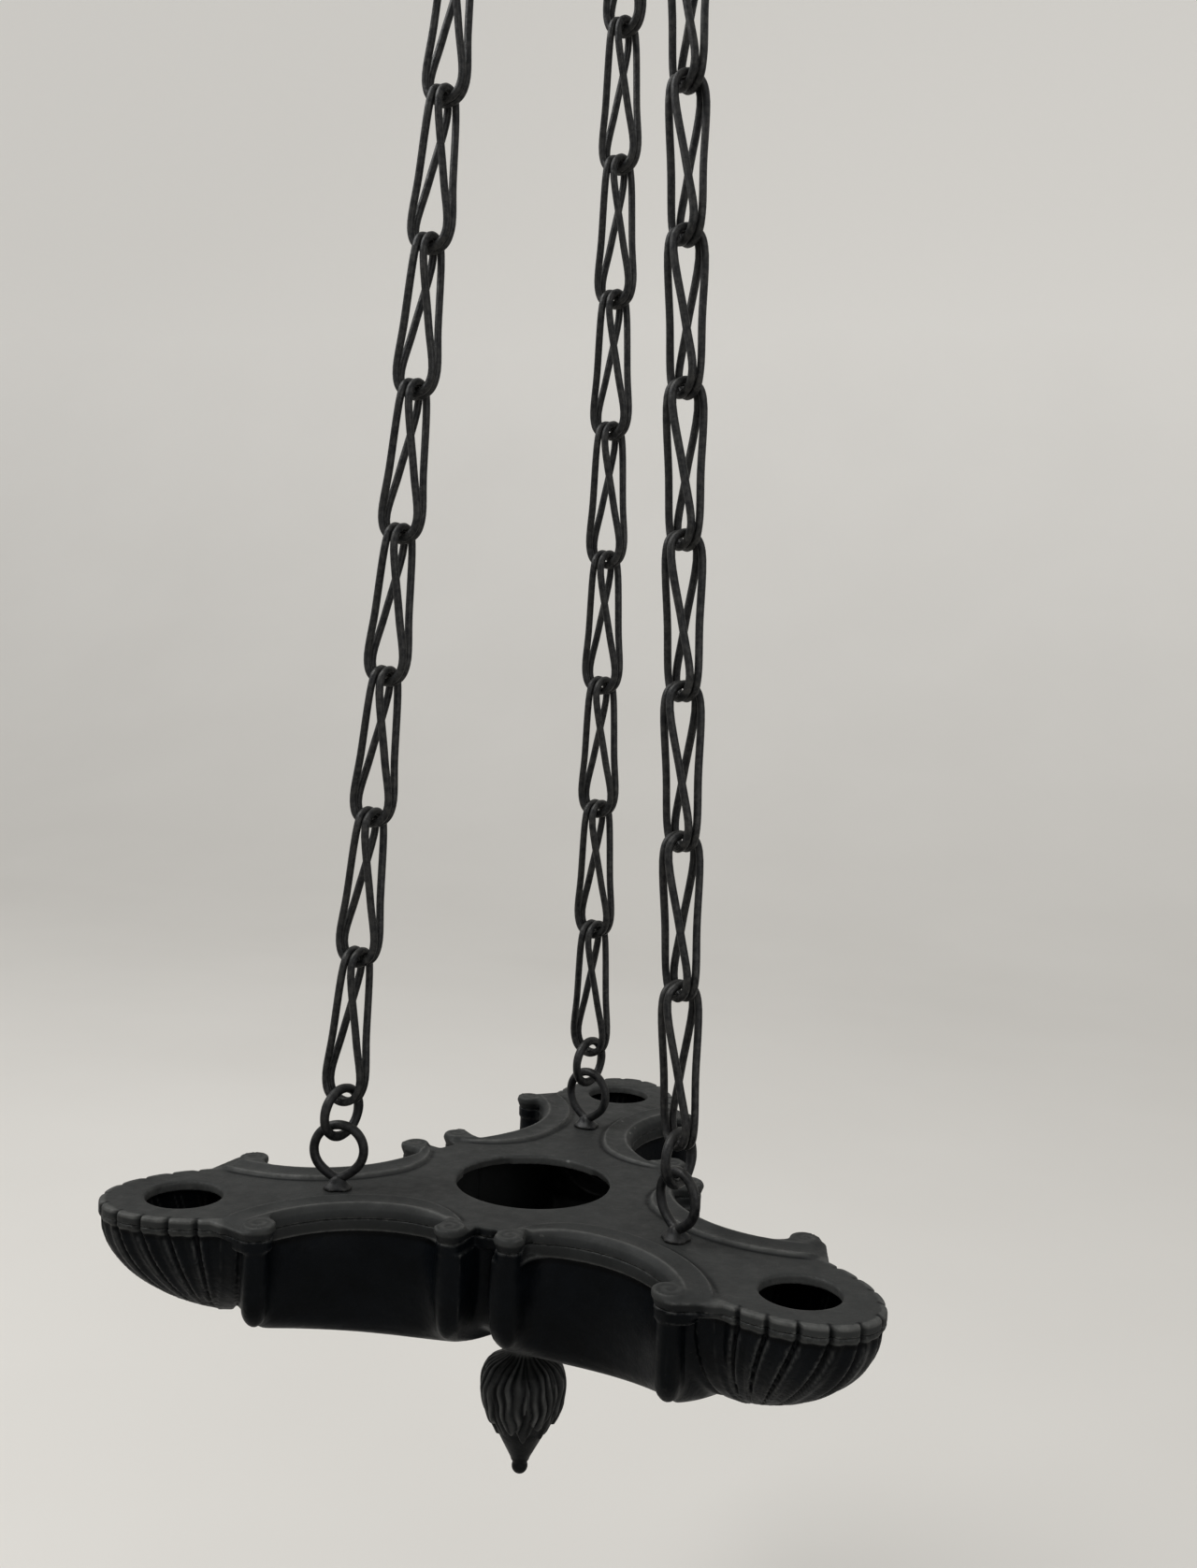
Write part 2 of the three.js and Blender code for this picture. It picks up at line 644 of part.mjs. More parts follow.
// The eye bolt in the spreader's middle. Its collar sits on the spreader, whose top is at z = 0.
function crownEyeBolt() {
  const collarTop = CLEARANCE + CROWN_COLLAR_HEIGHT;
  const wireRadius = CROWN_EYE_WIRE / 2;
  const middle = collarTop + CROWN_EYE_RADIUS + wireRadius;
  const loop = wireRing(CROWN_EYE_RADIUS, wireRadius);
  loop.translate(0, 0, middle);
  const collar = post(CROWN_COLLAR_RADIUS, CLEARANCE, collarTop);
  const shankEnd = -SPREADER_THICKNESS - 2 * CLEARANCE - NUT_HEIGHT - CROWN_SHANK_RADIUS / 2;
  const shank = post(CROWN_SHANK_RADIUS, shankEnd, middle - CROWN_EYE_RADIUS, BORE_SIDES);
  return joined([solidOf(loop), collar, shank]);
}

// The open hook. The middle of its bend is at z = 0 and its shank rises into the ceiling plate.
function ceilingHook(shankTop) {
  const wireRadius = HOOK_WIRE / 2;
  const from = 90;
  const to = 90 + HOOK_OPEN_ANGLE - 360;
  const points = [];
  for (let step = 0; step <= HOOK_STEPS; step += 1) {
    const angle = (from + ((to - from) * step) / HOOK_STEPS) * RAD;
    points.push(new THREE.Vector3(HOOK_RADIUS * Math.cos(angle), 0, HOOK_RADIUS * Math.sin(angle)));
  }
  const section = new THREE.Shape();
  section.absarc(0, 0, wireRadius, 0, 2 * Math.PI, false);
  const bend = new THREE.ExtrudeGeometry(section, {
    steps: HOOK_STEPS,
    curveSegments: 2,
    extrudePath: new THREE.CatmullRomCurve3(points),
  });
  const knee = new THREE.SphereGeometry(wireRadius * 1.04, 12, 8);
  knee.translate(0, 0, HOOK_RADIUS);
  const tip = new THREE.SphereGeometry(wireRadius * 1.1, 12, 8);
  tip.translate(points[HOOK_STEPS].x, 0, points[HOOK_STEPS].z);
  const shank = post(wireRadius, HOOK_RADIUS, shankTop, SHANK_SIDES);
  return joined([solidOf(bend), solidOf(knee), solidOf(tip), shank]);
}

function screwPlaces() {
  return SCREW_ANGLES.map((angle) => [
    SCREW_CIRCLE * Math.cos(angle * RAD), SCREW_CIRCLE * Math.sin(angle * RAD), 0,
  ]);
}

// The cone of a screw's head, or of the seat that is cut for it.
function screwHead(grow) {
  const low = -PLATE_THICKNESS - grow;
  const high = -PLATE_THICKNESS + SCREW_HEAD_HEIGHT + grow;
  return post(SCREW_HEAD_RADIUS + grow, low, high, BORE_SIDES, SCREW_RADIUS + grow);
}

function ceilingPlate() {
  const edge = PLATE_THICKNESS / 3;
  const disc = solidOf(turned([
    [0, -PLATE_THICKNESS], [PLATE_RADIUS - edge, -PLATE_THICKNESS], [PLATE_RADIUS, -PLATE_THICKNESS + edge],
    [PLATE_RADIUS, 0], [0, 0],
  ], WIDE_SIDES));
  const socketTop = -PLATE_THICKNESS + SOCKET_DEPTH;
  const socket = post(HOOK_WIRE / 2 + CLEARANCE, -PLATE_THICKNESS - 1, socketTop, BORE_SIDES);
  const bore = post(SCREW_RADIUS + CLEARANCE, -PLATE_THICKNESS - 1, 1, SHANK_SIDES);
  const cutter = screwHead(CLEARANCE).add(bore);
  const drilled = disc.subtract(socket);
  return screwPlaces().reduce((plate, spot) => plate.subtract(cutter.translate(spot)), drilled);
}

function woodScrew() {
  const tip = -PLATE_THICKNESS + SCREW_LENGTH;
  const pointStart = tip - SCREW_POINT_LENGTH;
  const shank = post(SCREW_RADIUS, -PLATE_THICKNESS + 1, pointStart, SHANK_SIDES);
  const point = post(SCREW_RADIUS, pointStart, tip, SHANK_SIDES, SCREW_TIP_RADIUS);
  return joined([screwHead(0), shank, point]);
}

// Assembly, from the ceiling down.
const lamp = new THREE.Group();

function place(mesh, parent, x, y, z) {
  mesh.position.set(x, y, z);
  parent.add(mesh);
  return mesh;
}

lamp.add(named('ceiling_plate', geometryOf(ceilingPlate()), iron));
screwPlaces().forEach((spot, index) => {
  place(named(`ceiling_screw_${index + 1}`, geometryOf(woodScrew()), iron), lamp, ...spot);
});

const hookMiddleZ = -PLATE_THICKNESS - HOOK_SHANK - HOOK_RADIUS;
const hookShankTop = -PLATE_THICKNESS + SOCKET_DEPTH - CLEARANCE - hookMiddleZ;
place(named('ceiling_hook', geometryOf(ceilingHook(hookShankTop)), iron), lamp, 0, 0, hookMiddleZ);

const hookSeatZ = hookMiddleZ - HOOK_RADIUS + HOOK_WIRE / 2;
const hangerTopZ = hookSeatZ + HANGER_WIRE / 2 + RUNNING_GAP;
const hangerMiddleZ = hangerTopZ - HANGER_RADIUS;
const hanger = named('hanger_ring', wireRing(HANGER_RADIUS, HANGER_WIRE / 2, 8, 22), wire);
hanger.rotation.z = Math.PI / 2;
place(hanger, lamp, 0, 0, hangerMiddleZ);

const hangerBottomZ = hangerMiddleZ - HANGER_RADIUS;
const crownEyeTopZ = hangerBottomZ + (HANGER_WIRE + CROWN_EYE_WIRE) / 2 + RUNNING_GAP;
const crownHeight = 2 * CROWN_EYE_RADIUS + CROWN_EYE_WIRE / 2 + CROWN_COLLAR_HEIGHT + CLEARANCE;
const spreaderTopZ = crownEyeTopZ - crownHeight;
const spreaderBottomZ = spreaderTopZ - SPREADER_THICKNESS;
place(named('crown_eye_bolt', geometryOf(crownEyeBolt()), wire), lamp, 0, 0, spreaderTopZ);
place(named('spreader_plate', geometryOf(spreaderPlate()), bronze), lamp, 0, 0, spreaderTopZ);
place(
  named('crown_nut', geometryOf(hexNut(CROWN_SHANK_RADIUS, NUT_HEIGHT)), iron),
  lamp, 0, 0, spreaderBottomZ - CLEARANCE - NUT_HEIGHT,
);

// A chain hangs on a straight line from its top eye's lowest wire to its ring's lowest wire.
const topEyeMiddle = CLEARANCE + TOP_EYE_NECK + RING_WIRE_RADIUS + TOP_EYE_RADIUS;
const chainTopZ = spreaderBottomZ - topEyeMiddle - TOP_EYE_RADIUS;
const firstFold = foldRise(RING_WIRE_RADIUS, 0);
const lastLobe = firstFold - LINK_COUNT * LINK_PITCH - LINK_NEST;
const wireStack = RING_WIRE_RADIUS + LINK_WIRE_RADIUS + RUNNING_GAP;
const ringTop = lastLobe + wireStack + BEND_SLOPE * (RING_WIRE_RADIUS + LOBE_Y);
const ringBottom = ringTop - 2 * RING_RADIUS;
const footOut = SCOOP_U - SPREADER_HOLE_RADIUS_FROM_MIDDLE;
const chainLean = Math.asin(footOut / -ringBottom);
const ringBottomZ = chainTopZ + ringBottom * Math.cos(chainLean);
const eyeTopAboveDeck = EYE_FOOT_HEIGHT + DECK_EYE_POINT + 2 * DECK_EYE_RADIUS;
const eyeTopZ = ringBottomZ + RING_WIRE + 2 * RUNNING_GAP;
const deckZ = eyeTopZ - eyeTopAboveDeck;

const body = new THREE.Group();
body.position.set(0, 0, deckZ);
lamp.add(body);
body.add(named('lamp_deck', geometryOf(lampDeck()), deckBronze));
body.add(named('oil_pan', geometryOf(oilPan()), bronze));
body.add(named('drop_finial', finial(), bronze));
place(
  named('finial_nut', geometryOf(hexNut(STUD_RADIUS, NUT_HEIGHT)), iron),
  body, 0, 0, NUT_SEAT_Z + CLEARANCE,
);

for (const arm of ARMS) {
  const direction = new THREE.Group();
  direction.rotation.z = arm.turn * RAD;
  lamp.add(direction);

  const upperEye = named(`top_eye_${arm.name}`, geometryOf(topEye()), wire);
  upperEye.rotation.set(Math.PI, 0, -arm.linkTurn * RAD);
  place(upperEye, direction, SPREADER_HOLE_RADIUS_FROM_MIDDLE, 0, spreaderBottomZ);

  const chain = new THREE.Group();
  chain.position.set(SPREADER_HOLE_RADIUS_FROM_MIDDLE, 0, chainTopZ);
  chain.rotation.y = -chainLean;
  direction.add(chain);
  for (let index = 0; index < LINK_COUNT; index += 1) {
    const number = String(index + 1).padStart(2, '0');
    const link = named(`chain_${arm.name}_link_${number}`, chainLink(), wire);
    link.rotation.z = arm.linkTurn * RAD;
    place(link, chain, 0, 0, firstFold - index * LINK_PITCH);
  }
  const ring = named(`chain_${arm.name}_ring`, wireRing(RING_RADIUS, RING_WIRE_RADIUS), wire);
  ring.rotation.z = (arm.linkTurn + RING_CROSS_TURN + arm.ringTurn) * RAD;
  place(ring, chain, 0, 0, ringTop - RING_RADIUS);

  const lowerEye = named(`deck_eye_${arm.name}`, geometryOf(deckEye()), wire);
  lowerEye.rotation.z = arm.eyeTurn * RAD;
  place(lowerEye, direction, SCOOP_U, 0, deckZ);
}

export default lamp;
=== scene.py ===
"""Looks of a three-armed hanging oil lamp of cast, dark-patinated bronze on loop-in-loop wire chains.
Sizes are in millimetres until a mesh is made, and metres in the scene. The frame is the CAD part's own."""
import math

import bpy
import numpy as np
from mathutils import Matrix, Vector


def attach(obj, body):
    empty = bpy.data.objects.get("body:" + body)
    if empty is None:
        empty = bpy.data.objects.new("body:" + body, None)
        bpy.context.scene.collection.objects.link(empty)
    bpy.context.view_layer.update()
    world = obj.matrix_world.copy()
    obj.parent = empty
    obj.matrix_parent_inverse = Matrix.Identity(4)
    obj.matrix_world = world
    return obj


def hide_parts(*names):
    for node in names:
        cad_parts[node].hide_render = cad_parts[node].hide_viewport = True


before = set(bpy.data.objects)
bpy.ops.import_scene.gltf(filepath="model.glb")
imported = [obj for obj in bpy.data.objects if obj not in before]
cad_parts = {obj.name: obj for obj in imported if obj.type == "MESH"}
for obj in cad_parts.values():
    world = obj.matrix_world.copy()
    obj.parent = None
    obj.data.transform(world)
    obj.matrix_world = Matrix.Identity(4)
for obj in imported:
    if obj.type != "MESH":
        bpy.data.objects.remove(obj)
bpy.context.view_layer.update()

MM = 0.001
RAD = math.pi / 180

# How the arms, links, rings and eyes are turned about the Z axis, in degrees.
ARM_TURNS = {"right": -30, "back": 90, "left": 210}
LINK_TURNS = {"right": -18, "back": 70, "left": 141}
RING_TURNS = {"right": 30, "back": 0, "left": -9}
EYE_TURNS = {"right": -8, "back": 68, "left": 160}

# The two castings. U runs along an arm and V across it, from the lamp's middle, and Z from the deck's top.
# The places are the CAD part's. The nozzles, columns, panels and hub follow the photo more closely.
DECK_Z = -618.309
DECK_THICKNESS = 3.6
FILLER_RADIUS = 30
WICK_HOLE_RADIUS = 14
WICK_HOLE_U = 132
NOZZLE_ROOT_U = 117.5
NOZZLE_LENGTH = 44.5
NOZZLE_HALF_WIDTH = 28.3
NOZZLE_DEPTH = 37.3
NOZZLE_KEEL_POWER = 1.35
THROAT_INSET = 0.4
THROAT_FLARE = 0.62
THROAT_FLARE_LENGTH = 12
THROAT_FLUTE_PLACE = 5.5
THROAT_FLUTE_DEPTH = 1.6
THROAT_FLUTE_WIDTH = 0.9
GADROONS = 11
GADROON_DEPTH = 1.3
SCOOP_U = 76
SCOOP_V = 70
SCOOP_RADIUS = 47.5
VOLUTE_RADIUS = 5.8
INNER_VOLUTE = (40.16, 47.17)
OUTER_VOLUTE = (106.02, 36.07)
VOLUTE_SHOULDER = 2.6
VOLUTE_RUN = (10, -12)
VOLUTE_BLEND = 3.5
NECK_REACH = 15
SIDE_REACH = 3
COLUMN_RADIUS = 4.4
COLUMN_LIP = 0.4
COLUMN_FADE_START = 10
COLUMN_FADE_DEPTH = 36
OUTER_COLUMN_BLEND = 7
INNER_COLUMN_BLEND = 14
HUB_RADIUS = 53.5
HUB_BLEND = 1.5
CRESCENT_WIDTH = 13
CRESCENT_HEIGHT = 1.7
CRESCENT_TIP_WIDTH = 2
CRESCENT_TAPER = 0.35
CRESCENT_START = -147.5
CRESCENT_END = -48.5
RIM_Z = -6.0
SIDE_RIM_Z = -8.2
PANEL_INSET = 1.3
PANEL_BELLY = 1.9
PANEL_BELLY_Z = -27
PANEL_BELLY_REACH = 18
KEEL_DEPTH = 54
KEEL_LENGTH = 192
KEEL_HALF_WIDTH = 76
KEEL_BLEND = 6
BOWL_RADIUS = 70
BOWL_BLEND = 2.5
PAN_WALL = 3
BOSS_RADIUS = 10
BOSS_Z = -56

# The grids on which the castings are worked out: their ends, and their steps across and in height.
GRID_X = (-146, 146)
GRID_Y = (-102, 168)
DECK_GRID_Z = (-4.4, 2.6)
DECK_STEP = 0.62
DECK_STEP_Z = 0.35
PAN_GRID_Z = (-58, -2.6)
PAN_STEP = 0.85
PAN_STEP_Z = 0.6

# The finial, on the castings' own Z.
FINIAL_TOP = -56.3
FINIAL_RADIUS = 17
FINIAL_NECK = 5.5
FINIAL_STEM_LENGTH = 13
FINIAL_BUD_LENGTH = 46
FINIAL_BALL_RADIUS = 3.2
FINIAL_LEAVES = 8
FINIAL_SIDES = 240
BUD_END = 0.95
# Each row of leaves: the depth of its tips, its turn in leaves, and how far it lies off the other row.
LEAF_ROWS = ((0.7, 0.5, -0.9), (0.6, 0.0, 0.0))

# Rings and eyes.
RING_WIRE = 1.8
RING_RADIUS = 9.2
DECK_EYE_RADIUS = 9.6
DECK_EYE_POINT = 1.4
EYE_FOOT_HEIGHT = 4
EYE_FOOT_RADIUS = 5.5

# Chain links: a round lobe below and a fold above, a quarter turn apart.
LINK_COUNT = 9
LINK_WIRE = 1.45
LINK_PITCH = 53
LOBE_HALF_WIDTH = 7.6
LOBE_Y = 1.6
FOLD_HALF_WIDTH = 6.2
FOLD_X = 1.75
LINK_LENGTH = 58.03

# Heights below the ceiling, the crown, and the chains' lean from the crown out to the deck.
SPREADER_BOTTOM = -87.2
CHAIN_RADIUS_TOP = 46
TOP_EYE_RADIUS = 8
TOP_EYE_NECK = 3
CHAIN_TOP_Z = -108.3
CHAIN_LEAN = math.atan2(0.061146, 0.998129)
FIRST_FOLD_Z = -103.512
ROUND_RING_Z = -588.827
HANGER_Z = -50.45
CROWN_TOP_Z = -83.2
HOOK_Z = -30


# Meshes from numbers.
def mesh_object(name, vertices, faces):
    """A smooth mesh object from vertices in millimetres and faces."""
    mesh = bpy.data.meshes.new(name)
    mesh.from_pydata((np.asarray(vertices) * MM).tolist(), [], [list(map(int, face)) for face in faces])
    mesh.validate()
    mesh.update()
    mesh.polygons.foreach_set("use_smooth", [True] * len(mesh.polygons))
    piece = bpy.data.objects.new(name, mesh)
    bpy.context.scene.collection.objects.link(piece)
    return piece


def grid_faces(rows, columns, closed_rows, closed_columns):
    """Quads of a rows by columns grid of vertices."""
    faces = []
    for row in range(rows if closed_rows else rows - 1):
        for column in range(columns if closed_columns else columns - 1):
            a = row * columns + column
            b = row * columns + (column + 1) % columns
            c = ((row + 1) % rows) * columns + (column + 1) % columns
            d = ((row + 1) % rows) * columns + column
            faces.append((a, b, c, d))
    return faces


def stacked_faces(rows, sides):
    """Faces of rings of vertices stacked from the lowest up, closed at both ends."""
    faces = grid_faces(rows, sides, False, True)
    faces.append(tuple(reversed(range(sides))))
    faces.append(tuple(range((rows - 1) * sides, rows * sides)))
    return faces


def full_turn(count):
    """Even angles around a circle."""
    return 2 * math.pi * np.arange(count) / count


def level_ring(radius, angles, z):
    """Vertices around the Z axis at one height. The radius may be one number or one for each angle."""
    return np.stack([radius * np.cos(angles), radius * np.sin(angles), np.full(len(angles), z)], -1)


def tube_mesh(points, radii, sides, closed=True):
    """Vertices and faces of a wire along the points, with turning kept even along it."""
    points = np.asarray(points, float)
    count = len(points)
    radii = np.broadcast_to(np.asarray(radii, float), (count,))
    if closed:
        tangents = np.roll(points, -1, 0) - np.roll(points, 1, 0)
    else:
        tangents = np.gradient(points, axis=0)
    tangents /= np.linalg.norm(tangents, axis=1)[:, None]
    start = np.cross(tangents[0], (0.3, 0.2, 0.93))
    sideways = [start / np.linalg.norm(start)]
    for tangent in tangents[1:]:
        side = sideways[-1] - tangent * np.dot(sideways[-1], tangent)
        sideways.append(side / np.linalg.norm(side))
    sideways = np.array(sideways)
    if closed:
        last = sideways[-1] - tangents[0] * np.dot(sideways[-1], tangents[0])
        upright = np.cross(tangents[0], sideways[0])
        slip = math.atan2(np.dot(last, upright), np.dot(last, sideways[0]))
        turn = -slip * np.arange(count) / count
        other = np.cross(tangents, sideways)
        sideways = sideways * np.cos(turn)[:, None] + other * np.sin(turn)[:, None]
    other = np.cross(tangents, sideways)
    angles = full_turn(sides)
    rings = (
        points[:, None, :]
        + radii[:, None, None] * np.cos(angles)[None, :, None] * sideways[:, None, :]
        + radii[:, None, None] * np.sin(angles)[None, :, None] * other[:, None, :]
    )
    faces = grid_faces(count, sides, True, True) if closed else stacked_faces(count, sides)
    return rings.reshape(-1, 3), faces


def lathe_mesh(profile, sides):
    """Vertices and faces of a turned body. The profile's radii and heights run from its lowest point up."""
    rings = [level_ring(radius, full_turn(sides), z) for radius, z in profile]
    return np.concatenate(rings), stacked_faces(len(profile), sides)


def merged(*parts):
    """One list of vertices and faces from several."""
    vertices, faces, count = [], [], 0
    for part_vertices, part_faces in parts:
        vertices.append(np.asarray(part_vertices))
        faces += [tuple(index + count for index in face) for face in part_faces]
        count += len(part_vertices)
    return np.concatenate(vertices), faces


def moved(mesh, matrix):
    """A mesh's vertices moved by a 4x4 matrix in millimetres."""
    vertices, faces = mesh
    turned = np.asarray(vertices) @ np.array(matrix.to_3x3()).T + np.array(matrix.translation)
    return turned, faces


def shift(x, y, z):
    return Matrix.Translation((x, y, z))


def turn_z(angle):
    return Matrix.Rotation(angle * RAD, 4, "Z")


# Bodies from distance fields, negative inside.
def smooth_min(a, b, k):
    """The union of two fields, blended over a width of k."""
    h = np.maximum(k - np.abs(a - b), 0) / k
    return np.minimum(a, b) - h * h * k / 4


def smooth_max(a, b, k):
    """What two fields share, blended over a width of k."""
    return -smooth_min(-a, -b, k)


def ridge(distance, middle, width):
    """1 on a line and soft on both sides of it."""
    return np.exp(-((distance - middle) / width) ** 2)


def between(value, low, high, soft):
    """1 between two limits and 0 outside them, with soft ends."""
    rise = np.clip((value - low) / soft + 0.5, 0, 1)
    fall = np.clip((high - value) / soft + 0.5, 0, 1)
    return rise * rise * (3 - 2 * rise) * fall * fall * (3 - 2 * fall)


def spread(limits, step):
    """Even places between two limits, about a step apart."""
    low, high = limits
    return np.linspace(low, high, int(round((high - low) / step)) + 1)


def surface_of(field, xs, ys, zs):
    """Vertices and quads of the surface where the field is zero.
    Each cell of the grid that the surface crosses holds one vertex."""
    inside = field < 0
    size = tuple(n - 1 for n in field.shape)
    corners = [(i, j, k) for i in (0, 1) for j in (0, 1) for k in (0, 1)]
    count = np.zeros(size, np.int8)
    for i, j, k in corners:
        count += inside[i:i + size[0], j:j + size[1], k:k + size[2]]
    mixed = (count > 0) & (count < 8)
    cells = np.argwhere(mixed)
    number = np.full(size, -1, np.int32)
    number[mixed] = np.arange(len(cells), dtype=np.int32)
    total = np.zeros((len(cells), 3))
    hits = np.zeros(len(cells))
    for a in corners:
        for axis in range(3):
            if a[axis]:
                continue
            b = tuple(1 if other == axis else value for other, value in enumerate(a))
            value_a = field[tuple((cells + a).T)]
            value_b = field[tuple((cells + b).T)]
            crossed = (value_a < 0) != (value_b < 0)
            gap = np.where(crossed, value_a - value_b, 1)
            along = np.where(crossed, value_a / gap, 0)
            total += crossed[:, None] * np.array(a, float)
            total[:, axis] += along
            hits += crossed
    places = cells + total / hits[:, None]
    vertices = np.stack([
        np.interp(places[:, 0], np.arange(len(xs)), xs),
        np.interp(places[:, 1], np.arange(len(ys)), ys),
        np.interp(places[:, 2], np.arange(len(zs)), zs),
    ], -1)
    faces = []
    for axis in range(3):
        lower = [slice(None)] * 3
        upper = [slice(None)] * 3
        lower[axis] = slice(0, -1)
        upper[axis] = slice(1, None)
        low, high = inside[tuple(lower)], inside[tuple(upper)]
        for rising in (True, False):
            crossing = np.argwhere(low & ~high if rising else ~low & high)
            step_b = np.zeros(3, int)
            step_c = np.zeros(3, int)
            step_b[(axis + 1) % 3] = 1
            step_c[(axis + 2) % 3] = 1
            around = [crossing - step_b - step_c, crossing - step_c, crossing, crossing - step_b]
            if not rising:
                around.reverse()
            faces.append(np.stack([number[tuple(cell.T)] for cell in around], -1))
    return vertices, np.concatenate(faces)


def folded(x, y):
    """Place along and across the nearest arm, the same for all three arms."""
    sector = 2 * math.pi / 3
    angle = np.arctan2(y, x) - ARM_TURNS["right"] * RAD
    angle = (angle + sector / 2) % sector - sector / 2
    reach = np.hypot(x, y)
    return reach * np.cos(angle), np.abs(reach * np.sin(angle))


def rim_lobes(u, v):
    """Where a point lies among a nozzle's lobes: whole numbers are the grooves."""
    samples = np.linspace(0, math.pi / 2, 400)
    x = NOZZLE_LENGTH * np.cos(samples)
    y = NOZZLE_HALF_WIDTH * np.sin(samples)
    length = np.concatenate([[0], np.cumsum(np.hypot(np.diff(x), np.diff(y)))])
    angle = np.arctan2(v / NOZZLE_HALF_WIDTH, np.maximum(u - NOZZLE_ROOT_U, 0) / NOZZLE_LENGTH)
    return np.interp(angle, samples, length) / length[-1] * GADROONS / 2 + GADROONS / 2


def lobe_place(u, v):
    """Distance from the nearest groove between two lobes: 0 in a groove, 0.5 on a lobe's crest."""
    lobe = rim_lobes(u, v)
    return np.abs(lobe - np.round(lobe))


def swept(u, z):
    """The place along a nozzle by which its flutes are told apart. Lower down they sweep to the root."""
    depth = np.clip((RIM_Z - z) / NOZZLE_DEPTH, 0, 1)
    return NOZZLE_ROOT_U + (u - NOZZLE_ROOT_U) * (1 + 0.7 * depth)


def groove(u, v, width):
    """How deep a point lies in a groove, from 0 on a lobe to 1 in a groove."""
    return np.exp(-(lobe_place(u, v) / width) ** 2)


def line_side(u, v, start, end):
    """Signed distance to a line, positive on its left."""
    along = np.array(end, float) - np.array(start, float)
    along /= np.linalg.norm(along)
    return (v - start[1]) * along[0] - (u - start[0]) * along[1]


def ellipse_field(scaled, gradient):
    """Distance to an ellipse, from the scaled distance to its middle and that distance's gradient."""
    return (scaled - 1) * scaled / np.maximum(gradient, 1e-6)


def nozzle_plan(u, v):
    """Half an ellipse, from the nozzle's root to its tip."""
    x = u - NOZZLE_ROOT_U
    scaled = np.sqrt((x / NOZZLE_LENGTH) ** 2 + (v / NOZZLE_HALF_WIDTH) ** 2)
    gradient = np.sqrt((x / NOZZLE_LENGTH ** 2) ** 2 + (v / NOZZLE_HALF_WIDTH ** 2) ** 2)
    return np.maximum(ellipse_field(scaled, gradient), -x - 2)


def arm_plan(u, v, inset, end, corner=0.0):
    """The arm between hub and nozzle, without its volutes, up to an end line across it."""
    inner = (INNER_VOLUTE[0], INNER_VOLUTE[1] - corner)
    outer = (OUTER_VOLUTE[0], OUTER_VOLUTE[1] - corner)
    root = (NOZZLE_ROOT_U, NOZZLE_HALF_WIDTH - GADROON_DEPTH)
    slab = np.maximum(-line_side(u, v, outer, inner), line_side(u, v, (0, 0), inner))
    if end > OUTER_VOLUTE[0]:
        slab = np.maximum(slab, -line_side(u, v, root, outer))
    slab = np.maximum(slab, u - end)
    scoop = SCOOP_RADIUS + inset - np.hypot(u - SCOOP_U, v - SCOOP_V)
    return smooth_max(slab, scoop, 0.6)


def outer_volute(u, v, radius, reach=0.0):
    """The outer volute, run on by the reach towards the nozzle's root."""
    toward = np.array(VOLUTE_RUN) / math.hypot(*VOLUTE_RUN)
    x, y = u - OUTER_VOLUTE[0], v - OUTER_VOLUTE[1]
    if reach > 0:
        x = x - np.clip(x, 0, VOLUTE_SHOULDER)
    along = np.clip(x * toward[0] + y * toward[1], 0, reach)
    return np.hypot(x - along * toward[0], y - along * toward[1]) - radius


def inner_volute(u, v, radius):
    """The inner volute and the wall that carries it out from the hub."""
    length = math.hypot(*INNER_VOLUTE)
    along = (INNER_VOLUTE[0] / length, INNER_VOLUTE[1] / length)
    reach = u * along[0] + v * along[1]
    across = np.abs(v * along[0] - u * along[1])
    return np.hypot(across, np.maximum(reach - length, 0)) - radius


def body_plan(u, v, with_nozzle, radius):
    """The outline seen from above, with volutes of the radius, with the nozzles or without."""
    end = NOZZLE_ROOT_U + 2 if with_nozzle else OUTER_VOLUTE[0]
    reach = NECK_REACH if with_nozzle else SIDE_REACH
    plan = smooth_min(arm_plan(u, v, 0, end), outer_volute(u, v, radius, reach), VOLUTE_BLEND)
    plan = smooth_min(plan, inner_volute(u, v, radius), VOLUTE_BLEND)
    plan = smooth_min(plan, np.hypot(u, v) - HUB_RADIUS, HUB_BLEND)
    if with_nozzle:
        lobes = 1.6 * groove(u, v, 0.085) - 0.35 * (2 * lobe_place(u, v)) ** 0.5 + 0.1
        plan = np.minimum(plan, nozzle_plan(u, v) + lobes)
    return plan


def ellipsoid_field(u, v, z, length, half_width, depth):
    scaled = np.sqrt((u / length) ** 2 + (v / half_width) ** 2 + (z / depth) ** 2)
    gradient = np.sqrt((u / length ** 2) ** 2 + (v / half_width ** 2) ** 2 + (z / depth ** 2) ** 2)
    return ellipse_field(scaled, gradient)


def under_keel(u, v, z, arm, hub, inset):
    """Arm and hub, cut off below by the boat-shaped keel and the round bowl."""
    depth = KEEL_DEPTH - inset
    keel = ellipsoid_field(u, v, z, KEEL_LENGTH - inset, KEEL_HALF_WIDTH - inset, depth)
    bowl = ellipsoid_field(u, v, z, BOWL_RADIUS - inset, BOWL_RADIUS - inset, depth)
    return smooth_min(smooth_max(arm, keel, KEEL_BLEND), smooth_max(hub, bowl, KEEL_BLEND), BOWL_BLEND)


